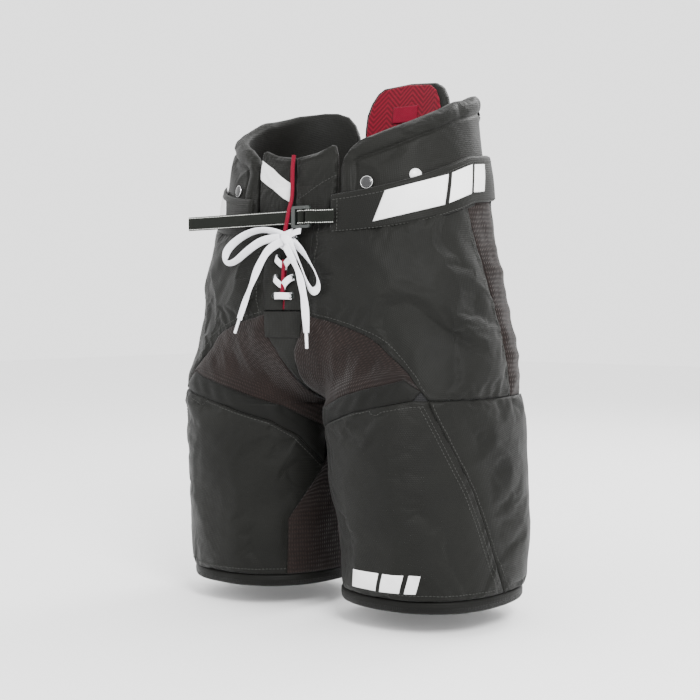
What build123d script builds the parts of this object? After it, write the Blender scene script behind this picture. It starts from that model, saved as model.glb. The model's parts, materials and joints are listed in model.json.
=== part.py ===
"""Hockey pants: a padded shell with two legs, a laced fly, a belt with a buckle, and raised pads.

Frame: millimetres, +Z up, the front of the pants faces -Y and the wearer's left is +X.
The origin is the middle of the waist opening. Heights in the comments and in h are measured up from the hem.
"""

import os
from functools import cache
from math import cos, pi, radians, sin, sqrt

from build123d import *

# ---------------------------------------------------------------- driving dimensions
WAIST_HEIGHT = 450.0  # hem to the origin
CROTCH = 215.0  # height of the crotch
TORSO_LOW = 300.0  # the rigid upper part ends here
LEG_TOP = 214.0  # the legs' inner layers end here
SIDE_SEAM = 228.0  # seam between hip and thigh at the side
TORSO_POWER = 2.4  # superellipse exponents, 2 is an ellipse
LEG_POWER = 2.3
SECTION_SPANS = 16  # spline spans in one section

# height, half width, half depth, how far the middle lies behind the origin
TORSO_STATIONS = [
    (226, 208, 128, 0),
    (262, 204, 128, 0),
    (300, 197, 127, 0),
    (356, 183, 124, 1),
    (410, 170, 118, 3),
    (460, 162, 115, 5),
    (540, 148, 114, 8),
    (620, 146, 118, 16),
]
# height, middle from the centre plane, half width, half depth, middle behind the origin
LEG_STATIONS = [
    (0, 115, 95, 103, 0),
    (60, 114, 96, 105, 0),
    (140, 110, 99, 111, -5),
    (240, 105, 100, 120, -9),
]

# Layers, as depths below the outer surface: where each starts and ends
SKIN = (0.0, 2.0)
PLATE = (2.6, 5.0)
FOAM = (5.6, 12.6)
HIP_FOAM = (5.6, 11.6)
LINER = (13.2, 17.0)
HIP_PAD = (3.0, 17.0)
FRONT_PAD = (4.0, 13.0)
BELT = (-5.0, -1.0)
GAP = 0.4  # between neighbouring panels

BELT_HEIGHT = 50.0
BELT_SLOPE = 0.36  # the belt climbs this much per millimetre from the front to the side
BELT_SLOPE_BACK = 0.11  # and this much from the side to the back
BELT_MIDDLE = 466.0  # height of the belt's middle line at the side
BELT_END_X = 60.0  # the belt's two front ends
STRAP_WIDTH = 16.0
STRAP_THICK = 1.6
STRAP_HEIGHT = 424.0
LACE_TUBE = 4.0
EYELET_HEIGHTS = (338.0, 358.0, 380.0, 400.0)
EYELET_X = 12.0
EYELET_HOLE = 2.2  # radii
EYELET_BARREL = 2.8
EYELET_FLANGE = 4.6
FLY_HOLE = 3.0

REACH = 400.0  # longer than the pants in any direction
os.makedirs("parts", exist_ok=True)


def level(h):
    """Height above the hem to the frame's Z."""
    return h - WAIST_HEIGHT


def power(v, n):
    """The superellipse's signed power of a sine or cosine."""
    return (1 if v >= 0 else -1) * abs(v) ** (2 / n)


def between(stations, h):
    """The stations' numbers at a height, on straight lines between them."""
    for low, high in zip(stations, stations[1:]):
        if h <= high[0]:
            break
    t = (h - low[0]) / (high[0] - low[0])
    return [a + (b - a) * t for a, b in zip(low[1:], high[1:])]


def leg_point(u, h, inset):
    """A point of the left leg's section: u runs from the inside over the front, outside and back."""
    middle, wide, deep, back = between(LEG_STATIONS, h)
    turn = 2 * pi * u
    x = middle - (wide - inset) * power(cos(turn), LEG_POWER)
    y = back - (deep - inset) * power(sin(turn), LEG_POWER)
    return x, y


def torso_point(u, h, inset):
    """A point of the left half of the torso's section: u runs from the front centre to the back centre."""
    wide, deep, back = between(TORSO_STATIONS, h)
    x = (wide - inset) * power(sin(pi * u), TORSO_POWER)
    y = back - (deep - inset) * power(cos(pi * u), TORSO_POWER)
    return x, y


def half_point(u, h, inset):
    """A point of the left half of the pants: the torso above, turning into the leg at the crotch."""
    t = min(1.0, max(0.0, (h - CROTCH) / (TORSO_LOW - CROTCH)))
    at_centre = sqrt(1 - (1 - t) ** 2)
    at_side = t * t * (3 - 2 * t)
    share = at_side + (at_centre - at_side) * abs(2 * u - 1) ** 3
    lx, ly = leg_point(u, h, inset)
    tx, ty = torso_point(u, h, inset)
    x = lx + (tx - lx) * share
    return (0.0 if u in (0, 1) else x), ly + (ty - ly) * share


def front_y(x, h, depth):
    """Y of the torso's front at a distance from the centre, that deep below the surface."""
    wide, deep, back = between(TORSO_STATIONS, h)
    rest = 1 - (abs(x) / (wide - depth)) ** TORSO_POWER
    return back - (deep - depth) * max(rest, 0) ** (1 / TORSO_POWER)


@cache
def half_solid(inset):
    """Fills the left half of the pants from the crotch to above the pads, that far inside the surface."""
    with BuildPart() as filled:
        for h, *_ in TORSO_STATIONS:
            with BuildSketch(Plane.XY.offset(level(h))):
                points = [half_point(i / SECTION_SPANS, h, inset) for i in range(SECTION_SPANS + 1)]
                with BuildLine():
                    Spline(*points)
                    Line(points[-1], points[0])
                make_face()
        loft()
    return filled.part


@cache
def torso_solid(inset):
    """Fills both halves of the torso, that far inside the surface."""
    with BuildPart() as filled:
        for h, *_ in TORSO_STATIONS:
            with BuildSketch(Plane.XY.offset(level(h))):
                left = [torso_point(i / SECTION_SPANS, h, inset) for i in range(SECTION_SPANS + 1)]
                right = [(-x, y) for x, y in reversed(left[1:-1])]
                with BuildLine():
                    Spline(*left, *right, periodic=True)
                make_face()
        loft()
    return filled.part


@cache
def leg_solid(inset):
    """Fills the left leg from the hem up, that far inside the surface."""
    with BuildPart() as filled:
        for h, *_ in LEG_STATIONS:
            with BuildSketch(Plane.XY.offset(level(h))):
                points = [leg_point(i / SECTION_SPANS, h, inset) for i in range(SECTION_SPANS)]
                with BuildLine():
                    Spline(*points, periodic=True)
                make_face()
        loft()
    return filled.part


def layer(solid, depths):
    """Adds the layer of a solid between two depths to the part being built."""
    add(solid(depths[0]))
    add(solid(depths[1]), mode=Mode.SUBTRACT)


def front_prism(outline, near, far):
    """A prism with an outline of (x, h) points, seen from the front, between two Y."""
    with BuildPart() as prism:
        with BuildSketch(Plane.XZ.offset(-far)):
            with BuildLine():
                Polyline(*[(x, level(h)) for x, h in outline], close=True)
            make_face()
        extrude(amount=far - near)
    return prism.part


def side_prism(outline, near, far):
    """A prism with an outline of (y, h) points, seen from the side, between two X."""
    with BuildPart() as prism:
        with BuildSketch(Plane.YZ.offset(near)):
            with BuildLine():
                Polyline(*[(y, level(h)) for y, h in outline], close=True)
            make_face()
        extrude(amount=far - near)
    return prism.part


def keep_front_view(outline, near=-REACH, far=REACH):
    """Keeps what lies inside an outline seen from the front."""
    add(front_prism(outline, near, far), mode=Mode.INTERSECT)


def keep_side_view(outline, near=-REACH, far=REACH):
    """Keeps what lies inside an outline seen from the side."""
    add(side_prism(outline, near, far), mode=Mode.INTERSECT)


def cut_side_view(outline, near=-REACH, far=REACH):
    """Removes what lies inside an outline seen from the side."""
    add(side_prism(outline, near, far), mode=Mode.SUBTRACT)


def write(part, name):
    """Labels a finished part and writes it to its own file."""
    part.label = name
    export_step(part, f"parts/{name}.step")


def write_pair(part, name):
    """Writes the left part and its mirror image on the right."""
    write(part, f"left_{name}")
    write(mirror(part, about=Plane.YZ, mode=Mode.PRIVATE), f"right_{name}")


def belt_edge(y, side):
    """Height of the belt's lower (-1) or upper (1) edge at a Y."""
    slope = BELT_SLOPE if y < 0 else BELT_SLOPE_BACK
    return BELT_MIDDLE + slope * y + side * BELT_HEIGHT / 2


# ---------------------------------------------------------------- seams, as (x, h) from the front
GROIN_TIP = (168, 236)
GROIN_TOP = [(28, 318), (45, 314), (60, 311), (81, 305), (105, 296), (125, 281), (142, 267)]
GROIN_TOP += [(155, 256), GROIN_TIP]
GROIN_LOW = [(152, 250), (123, 242), (84, 232), (40, 217), (20, 203), (10, 187)]
THIGH_SEAM = [(164, 228), (120, 219), (75, 206), (41, 195), (22, 177), (13, 142)]
# The fly's outer edge, from the belt down to where it meets the groin seam
FLY_EDGE = [(33, 420), (33, 360), (30, 330)]
GUSSET_EDGE = [(5, 250), (13, 278), (24.5, 300)]
GUSSET_LOW = 239.0
# The seam between the front and outer thigh panels, as (y, h) seen from the side
THIGH_DIAGONAL = [(-85, SIDE_SEAM), (15, 0)]
INNER_SEAM_Y = -72.0
BACK_SEAM_Y = 60.0
SEAT_TOP = 458.0
HIP_TOP = 500.0  # above the belt's lower edge everywhere on the hip
FRONT_OF_MIDDLE = -20.0  # what lies forward of this Y is on the front
BACK_OF_MIDDLE = 70.0  # what lies behind this Y is on the back
SIDE_OF_MIDDLE = 110.0  # what lies outside this X is on the side
# The stretch panel behind the hip runs between these Y, at its top and its bottom
STRETCH_TOP = (-8.0, 52.0)
STRETCH_LOW = (22.0, 74.0)

# ================================================================ legs (left, then mirrored)
with BuildPart() as leg_liner:
    layer(leg_solid, LINER)
    keep_side_view([(-REACH, 6), (REACH, 6), (REACH, LEG_TOP), (-REACH, LEG_TOP)])
write_pair(leg_liner.part, "leg_liner")

LEG_MIDDLE_X = 110.0
GUARD_INNER_X = 44.0  # the guard's edge beside the inner thigh
PLATE_MARGIN = 6.0  # the foam reaches this far past the plate
THIGH_GUARD = [(-REACH, 16), (30, 16), (30, 120), (0, LEG_TOP - 4), (-REACH, LEG_TOP - 4)]
with BuildPart() as thigh_foam:
    layer(leg_solid, FOAM)
    keep_side_view(THIGH_GUARD, near=GUARD_INNER_X)
write_pair(thigh_foam.part, "thigh_foam")

with BuildPart() as thigh_plate:
    layer(leg_solid, PLATE)
    middle = LEG_TOP / 2
    inside = [(y, h + (PLATE_MARGIN if h < middle else -PLATE_MARGIN)) for y, h in THIGH_GUARD]
    keep_side_view(inside, near=GUARD_INNER_X + 10)
write_pair(thigh_plate.part, "thigh_plate")

(seam_y0, seam_h0), (seam_y1, seam_h1) = THIGH_DIAGONAL
HEM_TOP = 15.0
hem_share = (HEM_TOP - seam_h1) / (seam_h0 - seam_h1)
SEAM_AT_HEM = seam_y1 + (seam_y0 - seam_y1) * hem_share
BELOW_THIGH_SEAM = [(REACH, HEM_TOP), (REACH, SIDE_SEAM), *THIGH_SEAM, (-REACH, 142), (-REACH, HEM_TOP)]

with BuildPart() as thigh_shell:
    layer(leg_solid, SKIN)
    keep_front_view(BELOW_THIGH_SEAM)
    cut_side_view(
        [(SEAM_AT_HEM, HEM_TOP), (REACH, HEM_TOP), (REACH, 240), (seam_y0, 240), (seam_y0, seam_h0)],
        near=LEG_MIDDLE_X,
    )
    cut_side_view([(INNER_SEAM_Y, 0), (REACH, 0), (REACH, 260), (INNER_SEAM_Y, 260)], far=LEG_MIDDLE_X)
write_pair(thigh_shell.part, "thigh_shell")

with BuildPart() as outer_shell:
    layer(leg_solid, SKIN)
    keep_side_view(
        [(SEAM_AT_HEM + GAP, HEM_TOP), (REACH, HEM_TOP), (REACH, SIDE_SEAM), (seam_y0 + GAP, SIDE_SEAM)],
    )
    cut_side_view(
        [(-REACH, 0), (BACK_SEAM_Y, 0), (BACK_SEAM_Y, 260), (-REACH, 260)], far=LEG_MIDDLE_X
    )
write_pair(outer_shell.part, "outer_thigh_shell")

with BuildPart() as inner_shell:
    layer(leg_solid, SKIN)
    keep_side_view(
        [(INNER_SEAM_Y + GAP, HEM_TOP), (BACK_SEAM_Y - GAP, HEM_TOP)]
        + [(BACK_SEAM_Y - GAP, 205), (-20, 205), (INNER_SEAM_Y + GAP, 180)],
        far=LEG_MIDDLE_X,
    )
write_pair(inner_shell.part, "inner_thigh_shell")

with BuildPart() as thigh_yoke:
    layer(leg_solid, SKIN)
    above_seam = [(x, h + GAP) for x, h in THIGH_SEAM]
    keep_front_view([*reversed(above_seam), *[(x, min(h, 238)) for x, h in GROIN_LOW]], far=INNER_SEAM_Y)
write_pair(thigh_yoke.part, "thigh_yoke")

HEM_FOLD = 5.5  # height of the folded edge, below which the binding is closed
HEM_LOW = -5.0  # below the legs, which end at 0
HEM_PROUD = 0.6  # the binding stands this far proud of the layers that it wraps
with BuildPart() as hem_channel:
    layer(leg_solid, (-0.1, LINER[1] + 0.1))
    keep_side_view([(-REACH, HEM_FOLD), (REACH, HEM_FOLD), (REACH, 40), (-REACH, 40)])

with BuildPart() as hem_binding:
    layer(leg_solid, (-HEM_PROUD, LINER[1] + HEM_PROUD))
    hem_edge = HEM_TOP - GAP
    keep_side_view([(-REACH, HEM_LOW), (REACH, HEM_LOW), (REACH, hem_edge), (-REACH, hem_edge)])
    add(hem_channel.part, mode=Mode.SUBTRACT)
write_pair(hem_binding.part, "hem_binding")

# ================================================================ hips and seat (left, then mirrored)
with BuildPart() as hip_shell:
    layer(half_solid, SKIN)
    keep_side_view(
        [(-REACH, SIDE_SEAM + GAP), (STRETCH_LOW[0] - GAP, SIDE_SEAM + GAP)]
        + [(STRETCH_TOP[0] - GAP, BELT_MIDDLE), (-REACH, belt_edge(-REACH, 0))],
        near=0,
    )
    keep_front_view(
        [(REACH, SIDE_SEAM), (GROIN_TIP[0] + GAP, SIDE_SEAM), *reversed(GROIN_TOP), *reversed(FLY_EDGE)]
        + [(FLY_EDGE[0][0], HIP_TOP), (REACH, HIP_TOP)],
    )
write_pair(hip_shell.part, "hip_shell")

with BuildPart() as groin_stretch:
    layer(half_solid, SKIN)
    inside_top = [(x - GAP, h - 2 * GAP) for x, h in GROIN_TOP[:-1]]
    beside_gusset = [(x + GAP, h) for x, h in GUSSET_EDGE]
    keep_front_view(
        [(GUSSET_EDGE[0][0] + GAP, GUSSET_LOW), *beside_gusset, *inside_top, (160, GUSSET_LOW)],
        far=FRONT_OF_MIDDLE,
    )
write_pair(groin_stretch.part, "groin_stretch")

with BuildPart() as side_stretch:
    layer(half_solid, SKIN)
    keep_side_view(
        [(STRETCH_TOP[0], BELT_MIDDLE), (STRETCH_TOP[1], BELT_MIDDLE)]
        + [(STRETCH_LOW[1], SIDE_SEAM + GAP), (STRETCH_LOW[0], SIDE_SEAM + GAP)],
        near=SIDE_OF_MIDDLE,
    )
write_pair(side_stretch.part, "side_stretch")

SEAT_GAP = 2.0
with BuildPart() as seat_shell:
    layer(half_solid, SKIN)
    keep_side_view(
        [(STRETCH_TOP[1] + SEAT_GAP, SEAT_TOP), (REACH, SEAT_TOP), (REACH, SIDE_SEAM + GAP)]
        + [(STRETCH_LOW[1] + SEAT_GAP, SIDE_SEAM + GAP)],
        near=GAP,
    )
write_pair(seat_shell.part, "seat_shell")

HIP_CAP = [(-78, 318), (40, 312), (52, 380), (30, 434), (-60, 412), (-84, 370)]
HIP_CAP_INNER_X = 90.0
HIP_FOAM_GROWTH = 1.08  # the foam is this much longer than the cap
with BuildPart() as hip_cap:
    layer(half_solid, PLATE)
    keep_side_view(HIP_CAP, near=HIP_CAP_INNER_X)
write_pair(hip_cap.part, "hip_cap")

with BuildPart() as hip_foam:
    layer(half_solid, HIP_FOAM)
    lowest = min(h for y, h in HIP_CAP)
    around_cap = [(y * HIP_FOAM_GROWTH, h - 6 if h < lowest + 10 else h) for y, h in HIP_CAP]
    keep_side_view(around_cap, near=HIP_CAP_INNER_X - 10)
write_pair(hip_foam.part, "hip_foam")

# ================================================================ raised pads above the belt
SPINE_TOP_X = 44.0
SPINE_LOW_X = 70.0
HIP_PAD_TOP = [(-98, 470), (-93, 492), (-84, 508), (-60, 524), (-25, 541), (15, 556), (60, 567), (104, 575)]
PAD_GAP = 1.5
with BuildPart() as hip_pad:
    layer(half_solid, HIP_PAD)
    keep_side_view(
        [(-REACH, 405), (-REACH, HIP_PAD_TOP[0][1]), *HIP_PAD_TOP, (REACH, 582), (REACH, 466)],
        near=SPINE_LOW_X + PAD_GAP,
    )
write_pair(hip_pad.part, "hip_pad")

with BuildPart() as front_pad:
    layer(torso_solid, FRONT_PAD)
    keep_front_view(
        [(0.5, 404), (69, 404), (69, 480), (62, 503), (40, 498), (0.5, 492)], far=FRONT_OF_MIDDLE
    )
write_pair(front_pad.part, "front_pad")

SPINE_RISE = [(SPINE_LOW_X, 452), (SPINE_LOW_X, 558), (62, 584), (SPINE_TOP_X, 604)]
SPINE_OUTLINE = SPINE_RISE + [(-x, h) for x, h in reversed(SPINE_RISE)]
SPINE_FOAM = (9.0, 17.0)
SPINE_PLATE = (5.0, 8.4)
SPINE_COVER = (2.4, 4.4)
SPINE_LINING = (17.6, 19.6)

for name, depths in (
    ("spine_cover", SPINE_COVER),
    ("spine_plate", SPINE_PLATE),
    ("spine_foam", SPINE_FOAM),
    ("spine_lining", SPINE_LINING),
):
    with BuildPart() as spine_layer:
        layer(torso_solid, depths)
        keep_front_view(SPINE_OUTLINE, near=BACK_OF_MIDDLE)
    write(spine_layer.part, name)

with BuildPart() as back_label:
    layer(torso_solid, (20.0, 20.8))
    keep_front_view([(-22, 556), (22, 556), (22, 578), (-22, 578)], near=BACK_OF_MIDDLE)
write(back_label.part, "back_label")

LINER_SLIT_WIDE = 10.0
LINER_SLIT_FOOT = 325.0
FRONT_CUT = (-100.0, 120.0)  # middle and length, in Y, of a cut through the front alone
with BuildPart() as girdle_liner:
    layer(torso_solid, LINER)
    keep_side_view([(-REACH, TORSO_LOW), (REACH, TORSO_LOW), (REACH, 445), (70, 434), (-REACH, 399)])
    with Locations((0, FRONT_CUT[0], level(REACH / 2 + LINER_SLIT_FOOT))):
        Box(LINER_SLIT_WIDE, FRONT_CUT[1], REACH, mode=Mode.SUBTRACT)
write(girdle_liner.part, "girdle_liner")

with BuildPart() as tailbone_pad:
    layer(torso_solid, (4.0, 12.6))
    keep_front_view([(-30, 306), (30, 306), (46, 436), (-46, 436)], near=BACK_OF_MIDDLE)
write(tailbone_pad.part, "tailbone_pad")

# ================================================================ belt
with BuildPart() as waist_belt:
    layer(torso_solid, BELT)
    low_edge = [(y, belt_edge(y, -1)) for y in (-REACH, 0, REACH)]
    high_edge = [(y, belt_edge(y, 1)) for y in (REACH, 0, -REACH)]
    keep_side_view(low_edge + high_edge)
    with Locations((0, FRONT_CUT[0], 0)):
        Box(2 * BELT_END_X, FRONT_CUT[1], REACH, mode=Mode.SUBTRACT)
write(waist_belt.part, "waist_belt")

# Blank badges printed on the belt at each side
BADGE_DEPTHS = (-5.9, -5.1)
BADGE_HALF = 15.0
BADGE_CORNERS = ((-98, -1), (26, -1), (34, 1), (-90, 1))
with BuildPart() as belt_badges:
    layer(torso_solid, BADGE_DEPTHS)
    keep_side_view(
        [(y, belt_edge(y, 0) + up * BADGE_HALF) for y, up in BADGE_CORNERS],
        near=BELT_END_X,
    )
    mirror(about=Plane.YZ)
write(belt_badges.part, "belt_badges")

with BuildPart() as leg_badge:
    layer(leg_solid, (-0.8, -0.1))
    keep_front_view([(82, 34), (90, 22), (158, 22), (166, 34), (158, 46), (90, 46)], far=FRONT_OF_MIDDLE)
write(leg_badge.part, "leg_badge")

# ================================================================ fly
FLY_INNER_X = 2.0
FLY_LOW = 318.5
FLY_HIGH = 417.0
with BuildPart() as fly_panel:
    layer(torso_solid, SKIN)
    beside_hip = [(x - 0.5, h) for x, h in reversed(FLY_EDGE[1:])]
    keep_front_view(
        [(FLY_INNER_X, FLY_LOW), (27, FLY_LOW), *beside_hip, (32.5, FLY_HIGH), (FLY_INNER_X, FLY_HIGH)],
        far=FRONT_OF_MIDDLE,
    )
    for h in EYELET_HEIGHTS:
        with BuildSketch(Plane.XZ):
            with Locations((EYELET_X, level(h))):
                Circle(FLY_HOLE)
        extrude(amount=200, mode=Mode.SUBTRACT)
write_pair(fly_panel.part, "fly_panel")

with BuildPart() as eyelets:
    for side in (-1, 1):
        for h in EYELET_HEIGHTS:
            face_y = front_y(EYELET_X, h, 0)
            with Locations((side * EYELET_X, face_y - 1.0, level(h))):
                Cylinder(EYELET_FLANGE, 0.8, rotation=(90, 0, 0))
                Cylinder(EYELET_BARREL, 5.4, rotation=(90, 0, 0))
                Cylinder(EYELET_HOLE, 9, rotation=(90, 0, 0), mode=Mode.SUBTRACT)
write(eyelets.part, "eyelets")

with BuildPart() as fly_tongue:
    layer(torso_solid, (5.4, 8.4))
    keep_front_view([(-24, 312), (24, 312), (30, 400), (-30, 400)], far=FRONT_OF_MIDDLE)
write(fly_tongue.part, "fly_tongue")

with BuildPart() as crotch_gusset:
    layer(half_solid, SKIN)
    inside_groin = [(x - 0.5, h) for x, h in GUSSET_EDGE]
    keep_front_view(
        [(0, GUSSET_LOW), (4.5, GUSSET_LOW), *inside_groin, (27, 318), (0, 318)], far=FRONT_OF_MIDDLE
    )
    mirror(about=Plane.YZ)
write(crotch_gusset.part, "crotch_gusset")

# ================================================================ buckle and strap
BUCKLE_X = 26.0  # middle of the buckle
BUCKLE_WIDE = 26.0
BUCKLE_TALL = 24.0
BUCKLE_THICK = 3.0
BASE_Y = front_y(0, STRAP_HEIGHT, 0) - 4.5  # the webbing next to the belly
STRAP_Y = BASE_Y - 3.0  # the free end lies over it
BUCKLE_Y = STRAP_Y - 4.0
BUCKLE_BARS = (BUCKLE_X - 9.5, BUCKLE_X, BUCKLE_X + 11.0)
BAR_WIDE = 3.2
SLOT = STRAP_WIDTH + 1.4
STRAP_FREE_END = -150.0
STRAP_FOLD_X = 27.0
BASE_ENDS = (-64.0, 18.0)
ANCHOR_ENDS = (31.0, 66.0)

with BuildPart() as buckle:
    with BuildSketch(Plane.XZ.offset(-BUCKLE_Y)):
        with Locations((BUCKLE_X, level(STRAP_HEIGHT))):
            RectangleRounded(BUCKLE_WIDE, BUCKLE_TALL, 3)
        for a, b in zip(BUCKLE_BARS, BUCKLE_BARS[1:]):
            with Locations(((a + b) / 2, level(STRAP_HEIGHT))):
                Rectangle(b - a - BAR_WIDE, SLOT, mode=Mode.SUBTRACT)
    extrude(amount=BUCKLE_THICK / 2, both=True)
write(buckle.part, "buckle")


def webbing(x0, x1, y):
    """Adds a straight run of the belt webbing in front of the waist."""
    with Locations(((x0 + x1) / 2, y, level(STRAP_HEIGHT))):
        Box(x1 - x0, STRAP_THICK, STRAP_WIDTH)


with BuildPart() as belt_strap:
    webbing(STRAP_FREE_END, STRAP_FOLD_X, STRAP_Y)
write(belt_strap.part, "belt_strap")

with BuildPart() as strap_webbing:
    webbing(*BASE_ENDS, BASE_Y)
    webbing(*ANCHOR_ENDS, BASE_Y)
write(strap_webbing.part, "strap_webbing")

# A red corded loop on the fly edge keeps the strap in place
with BuildPart() as red_piping:
    piping_y = STRAP_Y - 3.6
    with BuildLine():
        FilletPolyline(
            (4, piping_y + 9, level(490)),
            (5, piping_y + 2, level(446)),
            (3, piping_y, level(425)),
            (1, piping_y + 2, level(409)),
            radius=20,
        )
    with BuildSketch(Plane((4, piping_y + 9, level(490)), z_dir=(0.02, -0.16, -1))):
        Circle(1.6)
    sweep()
write(red_piping.part, "red_piping")

with BuildPart() as front_label:
    layer(torso_solid, (3.0, 3.6))
    keep_front_view([(2, 440), (2, 464), (60, 496), (66, 476)], far=FRONT_OF_MIDDLE)
write(mirror(front_label.part, about=Plane.YZ), "front_label")

# ================================================================ suspender buttons
BUTTON_PLACES = [(-96, 460), (-66, 468), (92, 548)]  # y, height on the left hip pad


def button_plane(y, h, side):
    """A plane on the hip pad's outer face at a Y and height, facing outwards."""
    wide, deep, back = between(TORSO_STATIONS, h)
    wide, deep = wide - HIP_PAD[0], deep - HIP_PAD[0]
    rest = 1 - (abs(y - back) / deep) ** TORSO_POWER
    x = wide * rest ** (1 / TORSO_POWER)
    nx = (x / wide) ** (TORSO_POWER - 1) / wide
    ny = (abs(y - back) / deep) ** (TORSO_POWER - 1) / deep * (1 if y > back else -1)
    return Plane((side * x, y, level(h)), z_dir=(side * nx, ny, 0))


STEM_RADIUS = 3.0
STEM_LONG = 0.6
STEM_START = 1.2
HEAD_RADIUS = 6.6
HEAD_THICK = 1.4
with BuildPart() as suspender_buttons:
    for side in (-1, 1):
        for y, h in BUTTON_PLACES:
            with BuildSketch(button_plane(y, h, side).offset(STEM_START)):
                Circle(STEM_RADIUS)
            extrude(amount=STEM_LONG)
            with BuildSketch(button_plane(y, h, side).offset(STEM_START + STEM_LONG)):
                Circle(HEAD_RADIUS)
            extrude(amount=HEAD_THICK, taper=30)
write(suspender_buttons.part, "suspender_buttons")

# ================================================================ lace
KNOT = (8.0, -125.5, 401.0)  # x, y, height
KNOT_SIZE = (15.0, 8.0, 11.0)

with BuildPart() as lace_knot:
    with Locations((KNOT[0], KNOT[1], level(KNOT[2]))):
        Box(*KNOT_SIZE)
    fillet(lace_knot.edges(), 3)
write(lace_knot.part, "lace_knot")

RUNG_REACH = (12.0, 1.6)
RUNG_FALL = 9.0
RUNG_RADIUS = 1.4
with BuildPart() as lace_rungs:
    for side in (-1, 1):
        for h0 in EYELET_HEIGHTS[1:]:
            x0, x1 = side * RUNG_REACH[0], side * RUNG_REACH[1]
            h1 = h0 - RUNG_FALL
            y0 = front_y(x0, h0, 0) - 3.6
            y1 = front_y(x1, h1, 0) - 3.0
            with BuildLine():
                Line((x0, y0, level(h0)), (x1, y1, level(h1)))
            with BuildSketch(Plane((x0, y0, level(h0)), z_dir=(x1 - x0, y1 - y0, h1 - h0))):
                Circle(RUNG_RADIUS)
            sweep()
    with Locations((0, front_y(0, EYELET_HEIGHTS[0], 0) - 3.2, level(EYELET_HEIGHTS[0]))):
        Box(22, 1.6, 7)
write(lace_rungs.part, "lace_rungs")

# Routes as (x, y, height), from the knot outwards
RIGHT_LOOP = [
    (2, -126, 404), (-14, -127, 411), (-38, -128, 412), (-62, -129, 404), (-82, -130, 390),
    (-84, -130, 376), (-70, -130, 375), (-46, -130, 391), (-22, -130, 402), (-2, -129, 402),
]
RIGHT_TAIL = [
    (3, -129, 398), (-14, -131, 393), (-28, -133, 374), (-40, -134, 350), (-52, -134, 326), (-58, -134, 312),
]
LEFT_LOOP = [
    (14, -126, 398), (26, -128, 391), (42, -131, 376), (55, -133, 360), (58, -134, 346), (50, -135, 341),
    (42, -135, 352), (34, -134, 370), (20, -132, 389), (13, -130, 396),
]
LEFT_TAIL = [
    (9, -132, 393), (18, -134, 380), (28, -137, 362), (34, -139, 340), (38, -139, 318), (41, -138, 300),
]
LACE_BEND = 0.45  # share of the shorter run that each arc may take


def route_radii(points):
    """The largest radius that the two runs at each corner leave room for."""
    radii = []
    for a, b, c in zip(points, points[1:], points[2:]):
        before, after = Vector(*b) - Vector(*a), Vector(*c) - Vector(*b)
        half_turn = radians(before.get_angle(after)) / 2
        short = min(before.length, after.length)
        radii.append(LACE_BEND * short * cos(half_turn) / sin(half_turn))
    return radii


def cord_tube(route, name):
    """A plain round tube along a stretch of free lace."""
    points = [(x, y, level(h)) for x, y, h in route]
    radii = route_radii(points)
    print(name, "radii", [round(r, 1) for r in radii])
    with BuildPart() as tube:
        with BuildLine() as path:
            FilletPolyline(*points, radius=radii)
        with BuildSketch(Plane(path.line @ 0, z_dir=path.line % 0)):
            Circle(LACE_TUBE / 2)
        sweep()
    length = sum(edge.length for edge in path.edges())
    print(name, "volume share", round(tube.part.volume / (pi * (LACE_TUBE / 2) ** 2 * length), 3))
    print(name, "length", round(length, 1))
    write(tube.part, name)


cord_tube(RIGHT_LOOP, "lace_right_loop")
cord_tube(RIGHT_TAIL, "lace_right_tail")
cord_tube(LEFT_LOOP, "lace_left_loop")
cord_tube(LEFT_TAIL, "lace_left_tail")

AGLET_LONG = 18.0
AGLET_RADIUS = 1.5
with BuildPart() as lace_tips:
    for route in (RIGHT_TAIL, LEFT_TAIL):
        (ax, ay, ah), (bx, by, bh) = route[-2:]
        along = Vector(bx - ax, by - ay, bh - ah).normalized()
        with BuildSketch(Plane((bx, by, level(bh)), z_dir=along)):
            Circle(AGLET_RADIUS)
        extrude(amount=AGLET_LONG)
write(lace_tips.part, "lace_tips")
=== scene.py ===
"""Looks of the hockey pants: cloth panels, pads, straps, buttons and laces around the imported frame."""

import json
from math import atan, cos, pi, radians, sin

import bpy
import numpy as np
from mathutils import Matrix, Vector
from mathutils.bvhtree import BVHTree

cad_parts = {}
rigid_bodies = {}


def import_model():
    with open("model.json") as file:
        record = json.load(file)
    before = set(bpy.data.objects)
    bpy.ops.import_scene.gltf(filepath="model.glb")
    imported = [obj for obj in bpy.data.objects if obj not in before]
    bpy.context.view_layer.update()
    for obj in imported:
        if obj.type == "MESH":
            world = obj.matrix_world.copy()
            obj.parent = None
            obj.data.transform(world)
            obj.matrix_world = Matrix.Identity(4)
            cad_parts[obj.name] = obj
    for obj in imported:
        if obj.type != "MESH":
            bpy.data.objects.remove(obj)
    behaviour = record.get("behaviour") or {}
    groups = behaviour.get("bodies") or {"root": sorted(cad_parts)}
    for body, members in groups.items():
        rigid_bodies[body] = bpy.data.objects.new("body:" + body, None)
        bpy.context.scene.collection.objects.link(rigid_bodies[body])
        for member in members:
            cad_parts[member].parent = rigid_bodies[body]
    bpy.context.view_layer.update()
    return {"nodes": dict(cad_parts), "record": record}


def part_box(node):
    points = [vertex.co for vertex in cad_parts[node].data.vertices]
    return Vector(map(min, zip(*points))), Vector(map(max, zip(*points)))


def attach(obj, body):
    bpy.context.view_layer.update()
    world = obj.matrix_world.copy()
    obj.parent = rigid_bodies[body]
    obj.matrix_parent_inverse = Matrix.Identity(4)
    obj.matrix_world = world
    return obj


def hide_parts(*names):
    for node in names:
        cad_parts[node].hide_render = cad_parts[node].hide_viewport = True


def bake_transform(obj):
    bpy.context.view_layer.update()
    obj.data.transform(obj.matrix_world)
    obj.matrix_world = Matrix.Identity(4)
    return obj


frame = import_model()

MM = 0.001
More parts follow.
